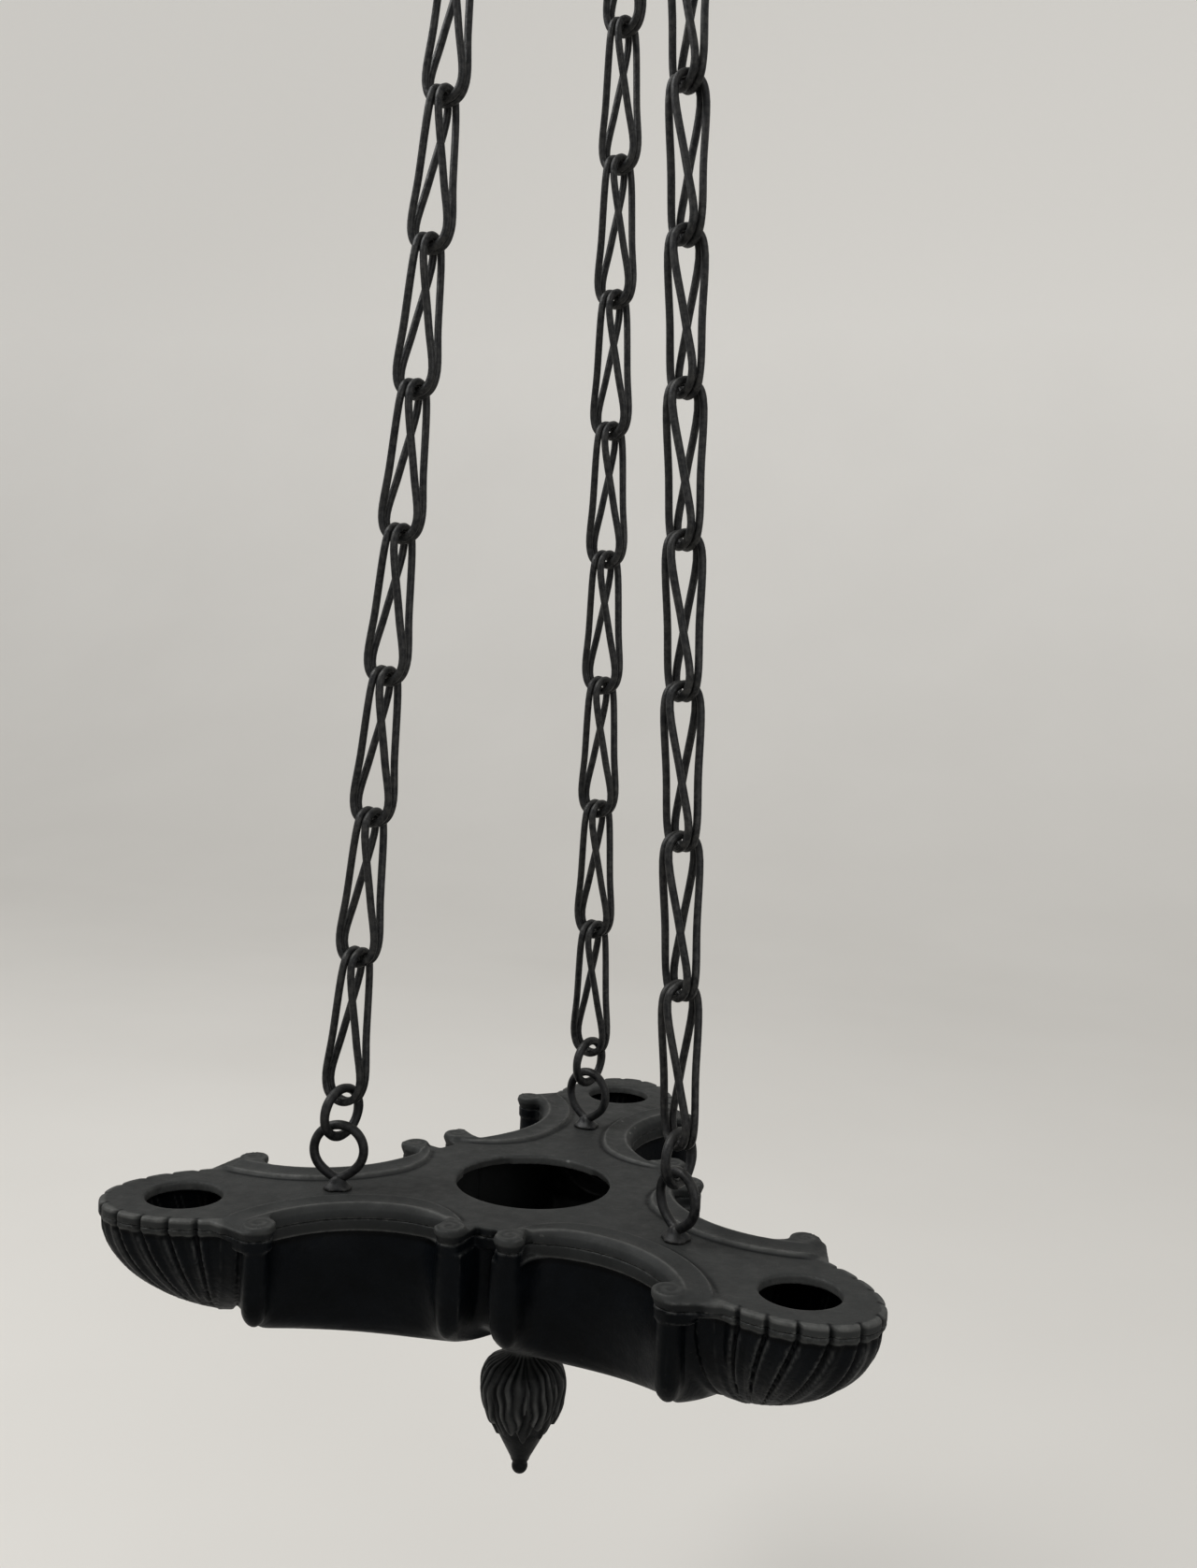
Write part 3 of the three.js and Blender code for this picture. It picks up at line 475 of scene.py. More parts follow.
def hull_field(u, v, z):
    """The walls below the side lip. They belly out a little and swell into a column at each volute."""
    belly = PANEL_BELLY * np.clip(1 - ((z - PANEL_BELLY_Z) / PANEL_BELLY_REACH) ** 2, 0, 1)
    arm = arm_plan(u, v, PANEL_INSET, OUTER_VOLUTE[0]) - belly
    sunk = np.clip((-z - COLUMN_FADE_START) / COLUMN_FADE_DEPTH, 0, 1) ** 2
    outer_column = outer_volute(u - 1, v, COLUMN_RADIUS * (1 - 0.4 * sunk))
    inner_column = inner_volute(u, v, COLUMN_RADIUS * (1 - 0.9 * sunk))
    arm = smooth_min(arm, outer_column, OUTER_COLUMN_BLEND)
    arm = smooth_min(arm, inner_column, INNER_COLUMN_BLEND)
    return under_keel(u, v, z, arm, np.hypot(u, v) - HUB_RADIUS + PANEL_INSET, 0)


def room_field(u, v, z):
    """The room for the oil inside the walls."""
    inset = PANEL_INSET + PAN_WALL
    arm = arm_plan(u, v, inset, OUTER_VOLUTE[0] - PAN_WALL, VOLUTE_RADIUS + PAN_WALL)
    return under_keel(u, v, z, arm, np.hypot(u, v) - HUB_RADIUS + inset, PAN_WALL)


def dome_field(u, v, z, inset):
    """A nozzle's underside, rounder across than along, so that its keel runs out slim to the tip."""
    x = u - NOZZLE_ROOT_U
    length, half_width = NOZZLE_LENGTH - inset, NOZZLE_HALF_WIDTH - inset
    along = np.clip(x / length, 0, 1)
    depth = (NOZZLE_DEPTH - inset) * np.sqrt(
        np.maximum(1 - along ** NOZZLE_KEEL_POWER, 0.02) / np.maximum(1 - along ** 2, 0.02)
    )
    dome = ellipsoid_field(x, v, z - RIM_Z, length, half_width, depth)
    return np.maximum(dome, -x - 1)


def throat_field(u, v, z, inset):
    """The neck between a nozzle and its arm. Outside it widens towards the columns, behind a last flute."""
    half_width = NOZZLE_HALF_WIDTH - THROAT_INSET - inset
    if inset == 0:
        half_width = half_width + THROAT_FLARE * np.clip(NOZZLE_ROOT_U - u, 0, THROAT_FLARE_LENGTH)
    depth = NOZZLE_DEPTH - THROAT_INSET - inset
    across = np.sqrt((v / half_width) ** 2 + (np.minimum(z - RIM_Z, 0) / depth) ** 2)
    wall = (across - 1) * half_width
    if inset == 0:
        wall = wall + THROAT_FLUTE_DEPTH * ridge(u, NOZZLE_ROOT_U - THROAT_FLUTE_PLACE, THROAT_FLUTE_WIDTH)
    start = OUTER_VOLUTE[0] - inset - 1
    ends = np.maximum(start - u, u - NOZZLE_ROOT_U - 1 - inset)
    return np.maximum(wall, ends)


# The deck's relief.
def along_scoop(u, v):
    """Distance outside a scooped side, and the share of the way along it from its inner volute."""
    from_edge = np.hypot(u - SCOOP_U, v - SCOOP_V) - SCOOP_RADIUS
    angle = np.arctan2(v - SCOOP_V, u - SCOOP_U) / RAD
    return from_edge, (angle - CRESCENT_START) / (CRESCENT_END - CRESCENT_START)


def crescent_width(part):
    """The crescent's width at a share of the way along it."""
    growth = np.sin(math.pi / 2 * np.clip(part / CRESCENT_TAPER, 0, 1))
    return CRESCENT_TIP_WIDTH + (CRESCENT_WIDTH - CRESCENT_TIP_WIDTH) * growth


def volute_curls(u, v):
    """How far a point lies on a volute's cap, and how high its spiral line stands there."""
    caps, lines = 0, 0
    for place, hand in ((INNER_VOLUTE, 1), (OUTER_VOLUTE, -1)):
        x, y = u - place[0], v - place[1]
        reach = np.hypot(x, y)
        cap = np.clip((VOLUTE_RADIUS + 0.5 - reach) / 1.2, 0, 1)
        curl = reach / 3.1 - hand * np.arctan2(y, x) / (2 * math.pi)
        line = (0.5 + 0.5 * np.cos(2 * math.pi * curl)) * np.clip(reach / 1.5, 0.3, 1)
        caps, lines = np.maximum(caps, cap), np.maximum(lines, cap * line)
    return caps, lines


def deck_relief(u, v):
    """Height of the deck's top: a raised, dished crescent along each scooped side, curled at both ends."""
    from_edge, part = along_scoop(u, v)
    width = crescent_width(part)
    span = between(part, 0.0, 1.03, 0.05)
    band = span * between(from_edge, -20, width - 0.7, 1.5)
    dish = 0.8 * np.sin(math.pi * np.clip((from_edge - 0.25 * width) / (0.68 * width), 0, 1))
    relief = band * (CRESCENT_HEIGHT - dish)
    relief -= 0.5 * span * ridge(from_edge, width + 1.0, 0.8)
    caps, lines = volute_curls(u, v)
    return np.maximum(relief, caps * (CRESCENT_HEIGHT - 0.35 + 0.35 * lines))


def side_weight(u, v):
    """1 along a scooped side, 0 at its volutes and at the nozzle."""
    from_edge, part = along_scoop(u, v)
    return between(part, 0.07, 0.9, 0.08) * (np.abs(from_edge) < 8)


def lamp_deck():
    """The flat top casting, with its holes, its crescents and the tabs around its nozzles."""
    xs = spread(GRID_X, DECK_STEP)
    ys = spread(GRID_Y, DECK_STEP)
    zs = spread(DECK_GRID_Z, DECK_STEP_Z)
    x, y = np.meshgrid(xs, ys, indexing="ij")
    u, v = folded(x, y)
    plan = body_plan(u, v, True, VOLUTE_RADIUS)
    plan = smooth_max(plan, WICK_HOLE_RADIUS - np.hypot(u - WICK_HOLE_U, v), 0.5)
    plan = smooth_max(plan, FILLER_RADIUS - np.hypot(x, y), 0.5)
    plan = plan.astype(np.float32)[:, :, None]
    top = deck_relief(u, v).astype(np.float32)[:, :, None]
    weight = side_weight(u, v).astype(np.float32)[:, :, None]
    z = zs.astype(np.float32)[None, None, :]
    # The edge leans in along the sides, and a little below the volutes' caps.
    lean_in = 2.2 * weight * np.clip((z + 3.2) / 4.4, 0, 1) ** 2
    at_volute = np.minimum(outer_volute(u, v, 0, 4), inner_volute(u, v, 0))
    at_volute = at_volute.astype(np.float32)[:, :, None]
    under_cap = 1.1 * between(at_volute, -9, VOLUTE_RADIUS + 1.5, 2) * np.clip((-z - 0.4) / 2.8, 0, 1)
    field = smooth_max(plan + lean_in + under_cap, z - top, 1.3)
    field = smooth_max(field, -DECK_THICKNESS - z, 0.12)
    return surface_of(field, xs, ys, zs)


def deck_tints(vertices):
    """How light the deck's patina is at each vertex, where it is worn and given painted highlights, and where
    it gets painted shade.
    """
    x, y, z = np.asarray(vertices).T
    u, v = folded(x, y)
    from_edge, part = along_scoop(u, v)
    width = crescent_width(part)
    span = between(part, 0.03, 1.0, 0.05)
    top = between(z, -0.9, 9, 1.0)
    at_nozzle = np.clip((u - NOZZLE_ROOT_U) / 3, 0, 1)
    at_side = side_weight(u, v)
    tab_groove = groove(u, v, 0.07) * at_nozzle * (np.abs(nozzle_plan(u, v)) < 2.8)
    from_filler = np.hypot(x, y) - FILLER_RADIUS
    from_wick = np.hypot(u - WICK_HOLE_U, v) - WICK_HOLE_RADIUS
    at_hole = np.minimum(from_filler, from_wick) < 1.3
    caps, lines = volute_curls(u, v)
    sides = np.maximum(np.maximum(0.8 * at_nozzle, 0.65 * at_side), 0.95 * at_hole)
    # Lighter patina on the top, the tab faces, the side lips and the hole walls. Painted shade darkens it in
    # the grooves between the tabs.
    tone_and_painted_light = np.maximum(top, sides) * (1 - tab_groove)
    # Painted highlight lines along each crescent's crests, partly wear. The hole walls and the nozzle edge
    # are worn, and the volutes' spiral lines get painted highlights.
    crests = 0.6 * ridge(from_edge, 0.24 * width, 0.5) + 0.7 * ridge(from_edge, width - 0.9, 0.45)
    wear_and_highlight = span * top * crests
    wear_and_highlight = np.maximum(wear_and_highlight, 0.35 * at_hole * (z < -0.4))
    wear_and_highlight = np.maximum(wear_and_highlight, 0.2 * lines * top)
    wear_and_highlight = np.maximum(wear_and_highlight, 0.5 * at_nozzle * between(z, -1.3, 0.4, 0.6) * (nozzle_plan(u, v) > -2))
    # Painted shade: a shadow line outside each crescent's step, in the grooves between the tabs, and between
    # the volutes' spiral lines.
    painted_shade = np.maximum(span * top * ridge(from_edge, width + 0.9, 0.9), tab_groove)
    painted_shade = np.maximum(painted_shade, 0.15 * caps * top * (1 - lines) ** 2)
    return {"tone_and_painted_light": tone_and_painted_light, "wear_and_highlight": wear_and_highlight, "painted_shade": painted_shade}


def oil_pan():
    """The hollow casting below the deck: its walls, its three lobed nozzles and the boss for the finial."""
    xs = spread(GRID_X, PAN_STEP)
    ys = spread(GRID_Y, PAN_STEP)
    zs = spread(PAN_GRID_Z, PAN_STEP_Z)
    x, y = np.meshgrid(xs, ys, indexing="ij")
    u, v = folded(x, y)
    rim_plan = body_plan(u, v, True, COLUMN_RADIUS + COLUMN_LIP)[:, :, None]
    side_rim_plan = body_plan(u, v, False, COLUMN_RADIUS + COLUMN_LIP)[:, :, None]
    from_middle = np.hypot(x, y)[:, :, None]
    side = side_weight(u, v)[:, :, None]
    lobes = np.stack([lobe_place(swept(u, level), v) for level in zs], -1)
    u, v = u[:, :, None], v[:, :, None]
    z = zs[None, None, :]
    rim = smooth_max(rim_plan, RIM_Z + 0.2 - z, 1.2)
    bulge = 0.4 * side * np.clip(1 - ((z + 6.8) / 3) ** 2, 0, 1)
    side_rim = smooth_max(side_rim_plan - bulge, SIDE_RIM_Z - z, 0.9)
    walls = np.maximum(hull_field(u, v, z), z - SIDE_RIM_Z - 1)
    fade = np.clip((z - RIM_Z + NOZZLE_DEPTH) / 14, 0.25, 1)
    fluted = 2.0 * np.exp(-(lobes / 0.09) ** 2) - 1.0 * (1 - (2 * lobes) ** 2) + 0.7
    dome = dome_field(u, v, z, 0.8) + fade * fluted
    dome = np.maximum(dome, z - RIM_Z - 1)
    throat = np.maximum(throat_field(u, v, z, 0), z - RIM_Z - 1)
    boss = smooth_max(from_middle - BOSS_RADIUS, BOSS_Z - z, 0.8)
    boss = np.maximum(boss, z - BOSS_Z - 4)
    outside = smooth_min(walls, throat, 2)
    outside = smooth_min(outside, dome, 0.8)
    outside = smooth_min(outside, side_rim, 0.5)
    outside = smooth_min(outside, rim, 0.3)
    outside = smooth_min(outside, boss, 2)
    outside = smooth_max(outside, z + DECK_THICKNESS, 0.15)

    room = np.maximum(room_field(u, v, z), z - 20)
    nozzle_room = dome_field(u, v, np.minimum(z, RIM_Z), PAN_WALL + GADROON_DEPTH)
    throat_room = throat_field(u, v, z, PAN_WALL)
    room = smooth_min(smooth_min(room, nozzle_room, 2), throat_room, 2)
    field = smooth_max(outside, -room, 0.8)
    return surface_of(field.astype(np.float32), xs, ys, zs)


def pan_tints(vertices):
    """How light the pan is at each vertex, where it is worn and given painted highlights, and where it gets
    painted shade. Its lips and tabs have the light patina, and its inside walls are painted light.
    """
    x, y, z = np.asarray(vertices).T
    u, v = folded(x, y)
    at_nozzle = np.clip((u - NOZZLE_ROOT_U) / 3, 0, 1)
    at_side = side_weight(u, v) * (1 - at_nozzle)
    tab = at_nozzle * between(z, RIM_Z - 0.1, 0, 0.5)
    lip = at_side * between(z, SIDE_RIM_Z - 0.1, 0, 0.6)
    # Painted shadow in a band under the tabs and under the side lip.
    shadow_below_tab = at_nozzle * between(z, RIM_Z - 1.8, RIM_Z - 0.2, 0.8)
    shadow_below_lip = at_side * between(z, SIDE_RIM_Z - 2.2, SIDE_RIM_Z - 0.3, 1.0)
    # Painted shade in the flutes, and painted highlights on the gadroons' crests.
    flute = at_nozzle * groove(swept(u, z), v, 0.07)
    crest = at_nozzle * ridge(lobe_place(swept(u, z), v), 0.13, 0.03) * between(z, -36, RIM_Z - 1, 6)
    # The lower edges of the side lip and the tabs are rubbed bright: wear, partly painted highlight.
    wear_and_highlight = 0.9 * at_side * ridge(z, SIDE_RIM_Z + 0.3, 0.5)
    wear_and_highlight = wear_and_highlight + 0.6 * at_nozzle * ridge(z, RIM_Z + 0.3, 0.4)
    # Painted light on the inside walls, lighter than the shade they lie in.
    painted_light_inside = 0.7 * (hull_field(u, v, z) < -2) * (z < RIM_Z)
    return {
        "tone_and_painted_light": np.maximum(np.maximum(0.8 * tab * (1 - flute), 0.65 * lip), painted_light_inside),
        "wear_and_highlight": np.maximum(wear_and_highlight * (1 - flute), 0.45 * crest),
        "painted_shade": np.maximum(np.maximum(shadow_below_tab, shadow_below_lip), 0.9 * flute),
    }


# The finial: a bud of long overlapping leaves.
def leaf_relief(depth, angles):
    """Height of the leaves around the bud, and how bright their folds are painted: painted highlights on
    their crests and painted shade between them.
    The depth below the bud's top runs from 0 to 1."""
    base = -2.0 * min(1, depth / 0.1) * min(1, (BUD_END - depth) / 0.3)
    relief = np.full(len(angles), base)
    # Painted shade between the leaves, until a leaf covers the place.
    crest = np.full(len(angles), 0.15)
    for tip, phase, lift in LEAF_ROWS:
        bent = angles + 0.03 * np.sin(9 * depth + 3 * angles)
        leaf = bent * FINIAL_LEAVES / (2 * math.pi) + phase + 0.5
        number = np.floor(leaf)
        across = leaf % 1 - 0.5
        own_tip = tip + 0.03 * np.sin(2.4 * number + 5 * phase)
        left = np.clip((own_tip - depth) / own_tip, 0, 1)
        half = 0.5 * np.clip(left / 0.4, 0, 1) ** 0.6
        inside = np.clip((half - np.abs(across)) / 0.03, 0, 1)
        drift = 0.3 * np.sin(8 * depth + 2 * number) + 0.12 * np.sin(23 * depth + 5 * angles)
        strands = 3.6 * across + drift
        folds = np.cos(2 * math.pi * strands)
        uneven = np.sin(5.3 * number + 2.1 * np.round(strands) + 9 * depth)
        folds = np.sign(folds) * np.abs(folds) ** 0.7 * (0.6 + 0.4 * uneven)
        arch = 1.1 * (1 - (across / 0.5) ** 2) + 0.6 * folds - 0.7
        shaped = (lift + arch) * min(1, depth / 0.08)
        relief = np.where(inside > 0, np.maximum(relief, base + (shaped - base) * inside), relief)
        # The lower-lying row of leaves gets dimmer painted highlights.
        bright = 0.55 if lift < 0 else 1.0
        crest = np.where(inside > 0.5, np.clip(0.5 + 0.5 * folds, 0, 1) * bright, crest)
    return relief, crest


def finial():
    """Ball tip, leafed bud and stem from the lowest ring up, and the tints of their vertices."""
    angles = full_turn(FINIAL_SIDES)
    bud_top = FINIAL_TOP - FINIAL_STEM_LENGTH
    ball_middle = bud_top - BUD_END * FINIAL_BUD_LENGTH - 3.0
    rings = []
    crests = []
    for angle in np.linspace(-88, 30, 14):
        radius = FINIAL_BALL_RADIUS * math.cos(angle * RAD)
        z = ball_middle + FINIAL_BALL_RADIUS * math.sin(angle * RAD)
        rings.append(level_ring(radius, angles, z))
        crests.append(np.full(FINIAL_SIDES, 0.25))

    outline = np.array([
        (0.34, 0.0), (0.8, 0.07), (0.97, 0.17), (1.0, 0.26), (0.96, 0.42),
        (0.84, 0.54), (0.62, 0.7), (0.38, 0.84), (0.2, BUD_END),
    ])
    depths = np.linspace(0, BUD_END, 110)
    radii = np.interp(depths, outline[:, 1], outline[:, 0]) * FINIAL_RADIUS
    radii = np.convolve(np.pad(radii, 4, mode="edge"), np.ones(9) / 9, "valid")
    for depth, radius in reversed(list(zip(depths, radii))):
        relief, crest = leaf_relief(depth, angles)
        relief = np.minimum(relief, 0.04 * radius + 0.15)
        leafed = radius + relief * (0.3 + 0.7 * radius / FINIAL_RADIUS)
        rings.append(level_ring(leafed, angles, bud_top - depth * FINIAL_BUD_LENGTH))
        crests.append(crest)

    stem = [
        (FINIAL_NECK, bud_top + 1.2), (FINIAL_NECK * 0.86, bud_top + 3.4), (FINIAL_NECK * 0.9, bud_top + 5.6),
        (FINIAL_NECK * 1.04, bud_top + 7.4), (7.0, bud_top + 9.6), (8.6, bud_top + 11.2),
        (9.0, bud_top + 12.2), (8.7, FINIAL_TOP),
    ]
    # The stem is painted light all round.
    for radius, z in stem:
        rings.append(level_ring(radius, angles, z))
        crests.append(np.full(FINIAL_SIDES, 1.15))
    crests = np.concatenate(crests)
    # Bright crests get the lighter tone and painted highlights. Low ones get painted shade: the folds'
    # valleys, the bud between its leaves, and, less, the ball.
    tints = {"tone_and_painted_light": 0.8 * crests, "wear_and_highlight": 0.75 * crests ** 2, "painted_shade": 0.95 * (1 - crests) ** 2}
    return (np.concatenate(rings), stacked_faces(len(rings), FINIAL_SIDES)), tints


# Chain links, rings and eyes.
def rounded(points, steps=6):
    """A closed smooth line through the points."""
    points = np.asarray(points, float)
    count = len(points)
    line = []
    for index in range(count):
        p0, p1, p2, p3 = (points[(index + offset) % count] for offset in (-1, 0, 1, 2))
        t0 = 0.0
        t1 = t0 + max(np.linalg.norm(p1 - p0), 1e-6) ** 0.5
        t2 = t1 + max(np.linalg.norm(p2 - p1), 1e-6) ** 0.5
        t3 = t2 + max(np.linalg.norm(p3 - p2), 1e-6) ** 0.5
        for step in range(steps):
            t = t1 + (t2 - t1) * step / steps
            a1 = (t1 - t) / (t1 - t0) * p0 + (t - t0) / (t1 - t0) * p1
            a2 = (t2 - t) / (t2 - t1) * p1 + (t - t1) / (t2 - t1) * p2
            a3 = (t3 - t) / (t3 - t2) * p2 + (t - t2) / (t3 - t2) * p3
            b1 = (t2 - t) / (t2 - t0) * a1 + (t - t0) / (t2 - t0) * a2
            b2 = (t3 - t) / (t3 - t1) * a2 + (t - t1) / (t3 - t1) * a3
            line.append((t2 - t) / (t2 - t1) * b1 + (t - t1) / (t2 - t1) * b2)
    return np.array(line)


def chain_link(seed):
    """One folded wire link, from its lobe at the bottom up to its fold at the origin."""
    lobe_top = -LINK_LENGTH + LOBE_HALF_WIDTH
    fold_bottom = -FOLD_HALF_WIDTH
    half = math.sqrt(0.5)
    middle = lobe_top + (fold_bottom - lobe_top) * 0.4
    slope = (middle - lobe_top) / (fold_bottom - lobe_top)
    quarter = [
        (LOBE_HALF_WIDTH * half, LOBE_Y, lobe_top - LOBE_HALF_WIDTH * half),
        (LOBE_HALF_WIDTH, LOBE_Y, lobe_top),
        (
            LOBE_HALF_WIDTH + (FOLD_X - LOBE_HALF_WIDTH) * slope,
            LOBE_Y + (FOLD_HALF_WIDTH - LOBE_Y) * slope, middle,
        ),
        (FOLD_X, FOLD_HALF_WIDTH, fold_bottom),
        (FOLD_X, FOLD_HALF_WIDTH * half, fold_bottom + FOLD_HALF_WIDTH * half),
    ]

    def placed(points, sx, sy):
        return [(sx * x, sy * y, z) for x, y, z in points]

    back = quarter[::-1]
    loop = (
        [(0, LOBE_Y, -LINK_LENGTH)] + placed(quarter, 1, 1) + [(FOLD_X, 0, 0)] + placed(back, 1, -1)
        + [(0, -LOBE_Y, -LINK_LENGTH)] + placed(quarter, -1, -1) + [(-FOLD_X, 0, 0)] + placed(back, -1, 1)
    )
    line = rounded(loop)
    wave = full_turn(len(line))
    radii = LINK_WIRE * (1 + 0.02 * np.sin(5 * wave + seed) + 0.015 * np.sin(11 * wave + 2.3 * seed))
    return tube_mesh(line, radii, 10)


def ring_line(radius, drop=0.0, steps=72):
    """A closed ring in the X-Z plane, pointed at its foot by the drop."""
    angles = full_turn(steps) - math.pi / 2
    foot = drop * np.exp(-((np.arange(steps) + steps / 2) % steps - steps / 2) ** 2 / 18)
    return np.stack([radius * np.cos(angles), np.zeros(steps), radius * np.sin(angles) - foot], -1)


def wire_ring(radius, wire, seed):
    """A round ring of slightly uneven wire."""
    line = ring_line(radius)
    wave = full_turn(len(line))
    uneven = 1 + 0.025 * np.sin(3 * wave + seed) + 0.02 * np.sin(7 * wave + seed)
    return tube_mesh(line, wire * uneven, 14)


def deck_eye(seed):
    """A wire eye on its uneven riveted foot."""
    middle = EYE_FOOT_HEIGHT + DECK_EYE_POINT + DECK_EYE_RADIUS
    line = ring_line(DECK_EYE_RADIUS, DECK_EYE_POINT) + (0, 0, middle)
    loop = tube_mesh(line, RING_WIRE, 14)
    angles = full_turn(40)
    rings = []
    for height, radius in (
        (0.3, 5.4), (0.9, 5.3), (1.5, 4.7), (2.3, 3.7), (3.2, 3.0), (4.2, 2.6), (5.0, 1.9), (5.4, 0.9),
    ):
        uneven = 1 + 0.1 * np.sin(3 * angles + seed) + 0.05 * np.sin(5 * angles + 2 * seed + height)
        reach = np.minimum(radius * uneven, EYE_FOOT_RADIUS)
        rings.append(level_ring(reach, angles, height))
    foot = np.concatenate(rings), stacked_faces(len(rings), len(angles))
    return merged(loop, foot)


def top_eye():
    """A wire eye with a short neck, for the crown."""
    middle = 0.3 + TOP_EYE_NECK + RING_WIRE + TOP_EYE_RADIUS
    loop = tube_mesh(ring_line(TOP_EYE_RADIUS) + (0, 0, middle), RING_WIRE, 14)
    neck = lathe_mesh([(3.3, 0.3), (3.2, 0.9), (2.4, 2.0), (2.0, 3.4), (1.8, 5.4)], 32)
    return merged(loop, neck)


def crown_eye_bolt():
    """An eye bolt with a collar above the crown and a shank through it."""
    collar = lathe_mesh([
        (6.4, 0.3), (7.0, 0.8), (7.0, 2.8), (6.5, 3.3), (3.4, 3.6), (3.0, 4.4), (2.8, 5.6),
    ], 40)
    loop = tube_mesh(ring_line(9) + (0, 0, 0.3 + 3 + 9 + 2.2), 2.2, 16)
    shank = lathe_mesh([(2.3, -11.1), (3.0, -10.4), (3.0, 1.0)], 28)
    return merged(collar, loop, shank)


def ceiling_hook():
    """A forged hook that thins at its point."""
    radius, wire = 12, 3
    bend = []
    for angle in np.linspace(90, 90 + 60 - 360, 60):
        bend.append((radius * math.cos(angle * RAD), 0, radius * math.sin(angle * RAD)))
    shank = [(0, 0, z) for z in np.linspace(27.5, 14.5, 14)]
    knee = [(0.0, 0, 13.0)]
    line = np.array(shank + knee + bend)
    line[:, 0] = np.convolve(np.pad(line[:, 0], 2, mode="edge"), np.ones(5) / 5, "valid")
    radii = np.full(len(line), float(wire))
    radii[-3:] = (2.9, 2.5, 1.6)
    return tube_mesh(line, radii, 18, closed=False)


# Materials: cast bronze with a dark patina, rubbed wire and blackened iron.
def add_node(tree, kind, place, **settings):
    node = tree.nodes.new(kind)
    node.location = place
    for key, value in settings.items():
        setattr(node, key, value)
    return node


def ramp(tree, place, source, stops):
    """Colours between the stops, picked by the source."""
    node = add_node(tree, "ShaderNodeValToRGB", place)
    elements = node.color_ramp.elements
    while len(elements) < len(stops):
        elements.new(0.5)
    for element, (position, shade) in zip(elements, stops):
        element.position = position
        element.color = (*shade, 1)
    tree.links.new(source, node.inputs["Fac"])
    return node.outputs["Color"]


def noise(tree, place, source, scale, detail, roughness):
    """Noise over the source's coordinates, from 0 to 1."""
    node = add_node(tree, "ShaderNodeTexNoise", place)
    node.inputs["Scale"].default_value = scale
    node.inputs["Detail"].default_value = detail
    node.inputs["Roughness"].default_value = roughness
    tree.links.new(source, node.inputs["Vector"])
    return node.outputs["Fac"]


def mix(tree, place, factor, a, b):
    """Colour a where the factor is 0 and colour b where it is 1."""
    node = add_node(tree, "ShaderNodeMix", place, data_type="RGBA")
    tree.links.new(factor, node.inputs["Factor"])
    for value, socket in ((a, node.inputs[6]), (b, node.inputs[7])):
        if isinstance(value, tuple):
            socket.default_value = (*value, 1)
        else:
            tree.links.new(value, socket)
    return node.outputs[2]


def arithmetic(tree, place, operation, a, b):
    """Two values added or multiplied, and kept between 0 and 1."""
    node = add_node(tree, "ShaderNodeMath", place, operation=operation, use_clamp=True)
    for value, socket in ((a, node.inputs[0]), (b, node.inputs[1])):
        if isinstance(value, (int, float)):
            socket.default_value = value
        else:
            tree.links.new(value, socket)
    return node.outputs[0]


def tint(tree, place, name):
    """One of a piece's own tints: its tone with painted light, its wear and painted highlights, or its
    painted shade.
    """
    return add_node(tree, "ShaderNodeAttribute", place, attribute_name=name).outputs["Fac"]


def patina(tree, place, base, mottled, lit):
    """The cloudy dark patina. Where a piece's tone and painted light are high, the smeared lighter colour
    takes its place.
    """
    clouds = noise(tree, (-1250, 300), place, 70, 6, 0.65)
    clouded = ramp(tree, (-1050, 300), clouds, [(0.35, (0, 0, 0)), (0.7, (1, 1, 1))])
    colour = mix(tree, (-750, 300), clouded, base, mottled)
    if lit is None:
        return colour
    smears = noise(tree, (-1250, 850), place, 22, 7, 0.7)
    shades = [(at, tuple(share * part for part in lit)) for at, share in ((0.35, 0.68), (0.68, 1.35))]
    smeared = ramp(tree, (-1050, 850), smears, shades)
    return mix(tree, (-600, 500), tint(tree, (-900, 600), "tone_and_painted_light"), colour, smeared)


def dust_mask(tree, geometry, settled, dusty):
    """How much dust lies on what faces up."""
    facing = add_node(tree, "ShaderNodeSeparateXYZ", (-1250, -450))
    tree.links.new(geometry.outputs["Normal"], facing.inputs[0])
    upward = ramp(tree, (-1050, -450), facing.outputs["Z"], [(0.35, (0, 0, 0)), (0.95, (1, 1, 1))])
    mask = arithmetic(tree, (-750, -250), "MULTIPLY", upward, settled)
    return arithmetic(tree, (-600, -250), "MULTIPLY", mask, dusty)


def wear_and_highlight_mask(tree, place, geometry, settled):
    """Where edges are worn bright, and where crests get painted highlights that are partly wear."""
    edges = ramp(tree, (-1050, -750), geometry.outputs["Pointiness"], [(0.52, (0, 0, 0)), (0.6, (1, 1, 1))])
    broken = noise(tree, (-1250, -950), place, 420, 6, 0.75)
    chipped = ramp(tree, (-1050, -950), broken, [(0.42, (0, 0, 0)), (0.6, (1, 1, 1))])
    worn_edges = arithmetic(tree, (-900, -800), "MULTIPLY", edges, chipped)
    # Painted highlights on crests, partly wear, from the piece's own tint.
    crests = arithmetic(tree, (-900, -1000), "MULTIPLY", tint(tree, (-1050, -1100), "wear_and_highlight"), settled)
    return arithmetic(tree, (-750, -800), "ADD", worn_edges, crests)


def bump(tree, place, height, strength, distance):
    node = add_node(tree, "ShaderNodeBump", place)
    node.inputs["Strength"].default_value = strength
    node.inputs["Distance"].default_value = distance
    tree.links.new(height, node.inputs["Height"])
    return node


def cast_grain(tree, place, grain):
    """A fine sandy grain over coarser unevenness."""
    fine = bump(tree, (-600, -1200), noise(tree, (-1250, -1200), place, 1500, 6, 0.7), 0.25 * grain, 0.0004)
    coarse = bump(tree, (-400, -1300), noise(tree, (-1250, -1450), place, 190, 4, 0.5), 0.3 * grain, 0.0012)
    tree.links.new(fine.outputs["Normal"], coarse.inputs["Normal"])
    return coarse.outputs["Normal"]


